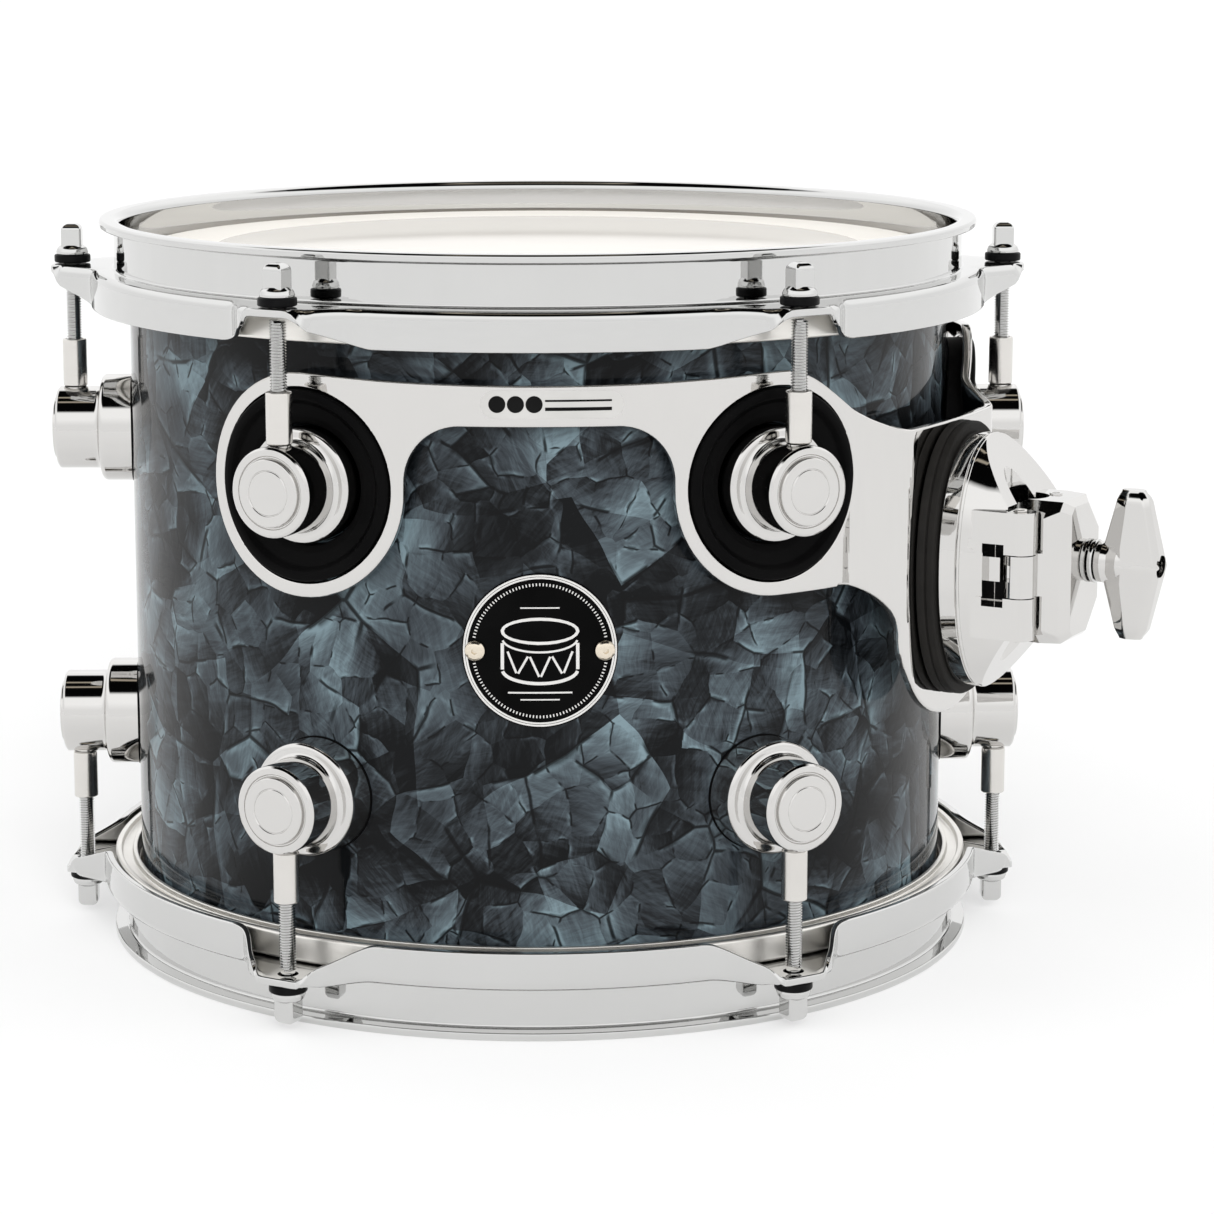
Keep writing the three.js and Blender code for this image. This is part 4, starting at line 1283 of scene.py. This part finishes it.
def build_clamp_jaw():
    top, upper, lower, bottom = KNUCKLE_ENDS
    low, high = lower + 0.15, upper - 0.15
    loops = [
        octagon(SPLIT_U + 0.15, -17.5, 16.5, 20.8, 8, 7),
        octagon(172.5, -17, 16.5, 20.8, 8, 5.5),
        octagon(178.6, -13, 15.5, 20.6, 8.5, 2.5),
        octagon(JAW_FACE, -9, 12, 18.8, 8.5, 2),
    ]
    jaw = lofted("jaw", loops, sharp=5)
    boss_u, boss_t = 171.7, 1.0
    boss = moved(bar(1.9, CLAMP_Z + 18, CLAMP_Z + 21.2, 40), u=boss_u, t=boss_t)
    joins = [
        knuckle(low, high),
        block([HINGE_U - 3, HINGE_U + 4.2], [HINGE_T, -12], [low, high]),
        boss,
    ]
    rooms = [(upper, top + 0.3), (bottom - 0.3, lower)]
    reach = KNUCKLE_R + 0.8
    cuts = [block([160, HINGE_U + reach], [-30, HINGE_T + reach], room) for room in rooms]
    cuts += [
        block([160, 184], [STUD_T - 4.2, STUD_T + 6.6], [STUD_Z - 4.1, STUD_Z + 4.1]),
        arm_passage(),
        pin_bore(),
        moved(bar(1.1, CLAMP_Z + 19.6, CLAMP_Z + 24, 32), u=boss_u, t=boss_t),
        block([HINGE_U - 6, HINGE_U - 1.4], [-30, HINGE_T + 1], [-87.0, -82.2]),
    ]
    jaw = bevelled(combined(jaw, cuts=cuts, joins=joins), 0.45, 3, 12, 40)
    piece("clamp_jaw_casting", jaw, "cast_chrome", station(BRACKET_AZIMUTH), ["clamp_jaw"], "jaw")


def on_stud(mesh):
    return moved(outwards(mesh), t=STUD_T, z=STUD_Z)


def build_clamp_pins():
    place = station(BRACKET_AZIMUTH)
    low, high = KNUCKLE_ENDS[3] - 0.8, KNUCKLE_ENDS[0] + 0.8
    line = [
        (0, low + 0.3), (1.0, low + 0.1, 0.3), (1.9, low + 0.1, 0.4),
        (1.9, high - 0.1, 0.4), (1.0, high - 0.1, 0.3), (0, high - 0.5),
    ]
    pin = moved(turned("pin", rounded(line, closed=False), 40), u=HINGE_U, t=HINGE_T)
    piece("knuckle_pin", pin, "satin", place, ["hinge_pin"])

    stud = on_stud(thread_mesh("stud", 3.6, STUD_PITCH, 148.5, 194.0, 28))
    piece("threaded_stud", stud, "satin", place, ["clamp_stud"])

    inner = JAW_FACE + 0.3
    ring = [(4.1, inner, 0.3), (6.4, inner, 0.4), (6.4, inner + 1.5, 0.5), (4.1, inner + 1.5, 0.3)]
    washer = on_stud(turned("washer", rounded(ring, steps=3), 56))
    piece("wing_washer_disc", washer, "chrome", place, ["clamp_washer"], "wing_washer")


def wing_level(share):
    """The wing nut's cross-section at a share of the wing's length from its middle."""
    reach = abs(share)
    tip = smooth_step(0.86, 1.0, reach)
    inner = 184.8 + 4.2 * max(reach - 0.24, 0) / 0.76 + 0.6 * tip
    outer = 202.6 - 5.0 * reach - 1.2 * tip
    half = 6.1 - 2.5 * reach - 1.3 * tip
    width = outer - inner
    corners = [
        (inner, -0.40 * half, 0.9), (inner + 0.36 * width, -half, 2.2),
        (outer - 1.4, -half + 0.4, 1.2), (outer, -half + 0.6 * half, 1.2),
        (outer, half - 0.6 * half, 1.2), (outer - 1.4, half - 0.4, 1.2),
        (inner + 0.36 * width, half, 2.2), (inner, 0.40 * half, 0.9),
    ]
    level = STUD_Z + share * WING_HALF
    return [(u, STUD_T + t, level) for u, t in rounded(corners)]


def build_wing_nut():
    shares = [-1, -0.985, -0.955, -0.91, -0.86, -0.78, -0.66, -0.52, -0.38, -0.24, -0.12, -0.05]
    shares = [*shares, 0, *(-s for s in reversed(shares))]
    wings = lofted("wing", [wing_level(s) for s in shares], sharp=60)
    inner, hub_end = JAW_FACE + 2.1, 201.4
    hub_line = [
        (0, inner), (6.0, inner, 0.5), (6.2, inner + 2.0, 1.0), (5.7, inner + 3.6, 2.0),
        (6.3, inner + 7.0, 2.0), (5.0, hub_end, 1.0), (0, hub_end),
    ]
    hub = on_stud(turned("hub", rounded(hub_line, closed=False, steps=5), 72))
    bore = on_stud(thread_mesh("tool", 4.0, STUD_PITCH, 170.0, 206.0, 32))
    nut = tidied(combined(wings, joins=[hub], cuts=[bore]), 50)
    piece("wing_nut_casting", nut, "cast_chrome", station(BRACKET_AZIMUTH), ["wing_nut"], "wing")


# ---------------------------------------------------------------- studio


def build_studio():
    floor = turned("floor", [(0, 0), (6000, 0), (6000, -20), (0, -20)])
    ground = new_object("studio_floor", moved(floor, z=FLOOR_Z))
    ground.data.materials.append(floor_look())

    world = bpy.data.worlds.new("white_studio")
    bpy.context.scene.world = world
    world.use_nodes = True
    tree = world.node_tree
    tree.nodes.clear()
    direction = node(tree, "TexCoord").outputs["Generated"]
    height = node(tree, "SeparateXYZ", {"Vector": direction}).outputs["Z"]
    elevation = calc(tree, "DIVIDE", calc(tree, "ARCSINE", height), math.pi / 2)
    white, bright, dark, strip = (0.76,) * 3, (0.92,) * 3, (0.0015,) * 3, (0.34, 0.30, 0.24)
    bands = [
        (0.0, white),
        (12 / 90, white),
        (28 / 90, bright),
        (46 / 90, bright),
        (52 / 90, dark),
        (76 / 90, dark),
        (77.5 / 90, strip),
        (79.5 / 90, strip),
        (81 / 90, dark),
        (1.0, dark),
    ]
    sky = node(tree, "Background", {"Color": ramp(tree, elevation, bands), "Strength": 1.4})
    tree.links.new(sky.outputs[0], node(tree, "OutputWorld").inputs["Surface"])

    for name, toward, width, strength in (
        ("top_light", (-0.05, -0.34, 0.94), 80, 1.0),
        ("front_light", (0.08, -0.94, 0.31), 40, 3.0),
    ):
        lamp = bpy.data.lights.new(name, "SUN")
        lamp.angle = radians(width)
        lamp.energy = strength
        shown = new_object(name, lamp)
        shown.location = toward
        shown.rotation_mode = "QUATERNION"
        shown.rotation_quaternion = Vector(toward).to_track_quat("Z", "Y")
        shown.visible_glossy = False


def build_camera():
    lens = bpy.data.cameras.new("camera")
    lens.sensor_width = 36.0
    lens.lens = 106.6
    lens.shift_y = -0.051
    lens.clip_end = 50.0
    camera = new_object("camera", lens)
    camera.location = (0.0, -1.1071, 0.1036)
    camera.rotation_euler = (radians(90 - 10.14), 0.0, radians(-1.09))
    bpy.context.scene.camera = camera
    bpy.context.scene.view_settings.view_transform = "Standard"


build_shell()
build_heads()
build_flesh_hoops()
build_hoops()
build_stations()
build_badge()
build_label()
build_bracket()
build_clamp_gasket()
build_clamp_base()
build_clamp_jaw()
build_clamp_pins()
build_wing_nut()
build_studio()
build_camera()
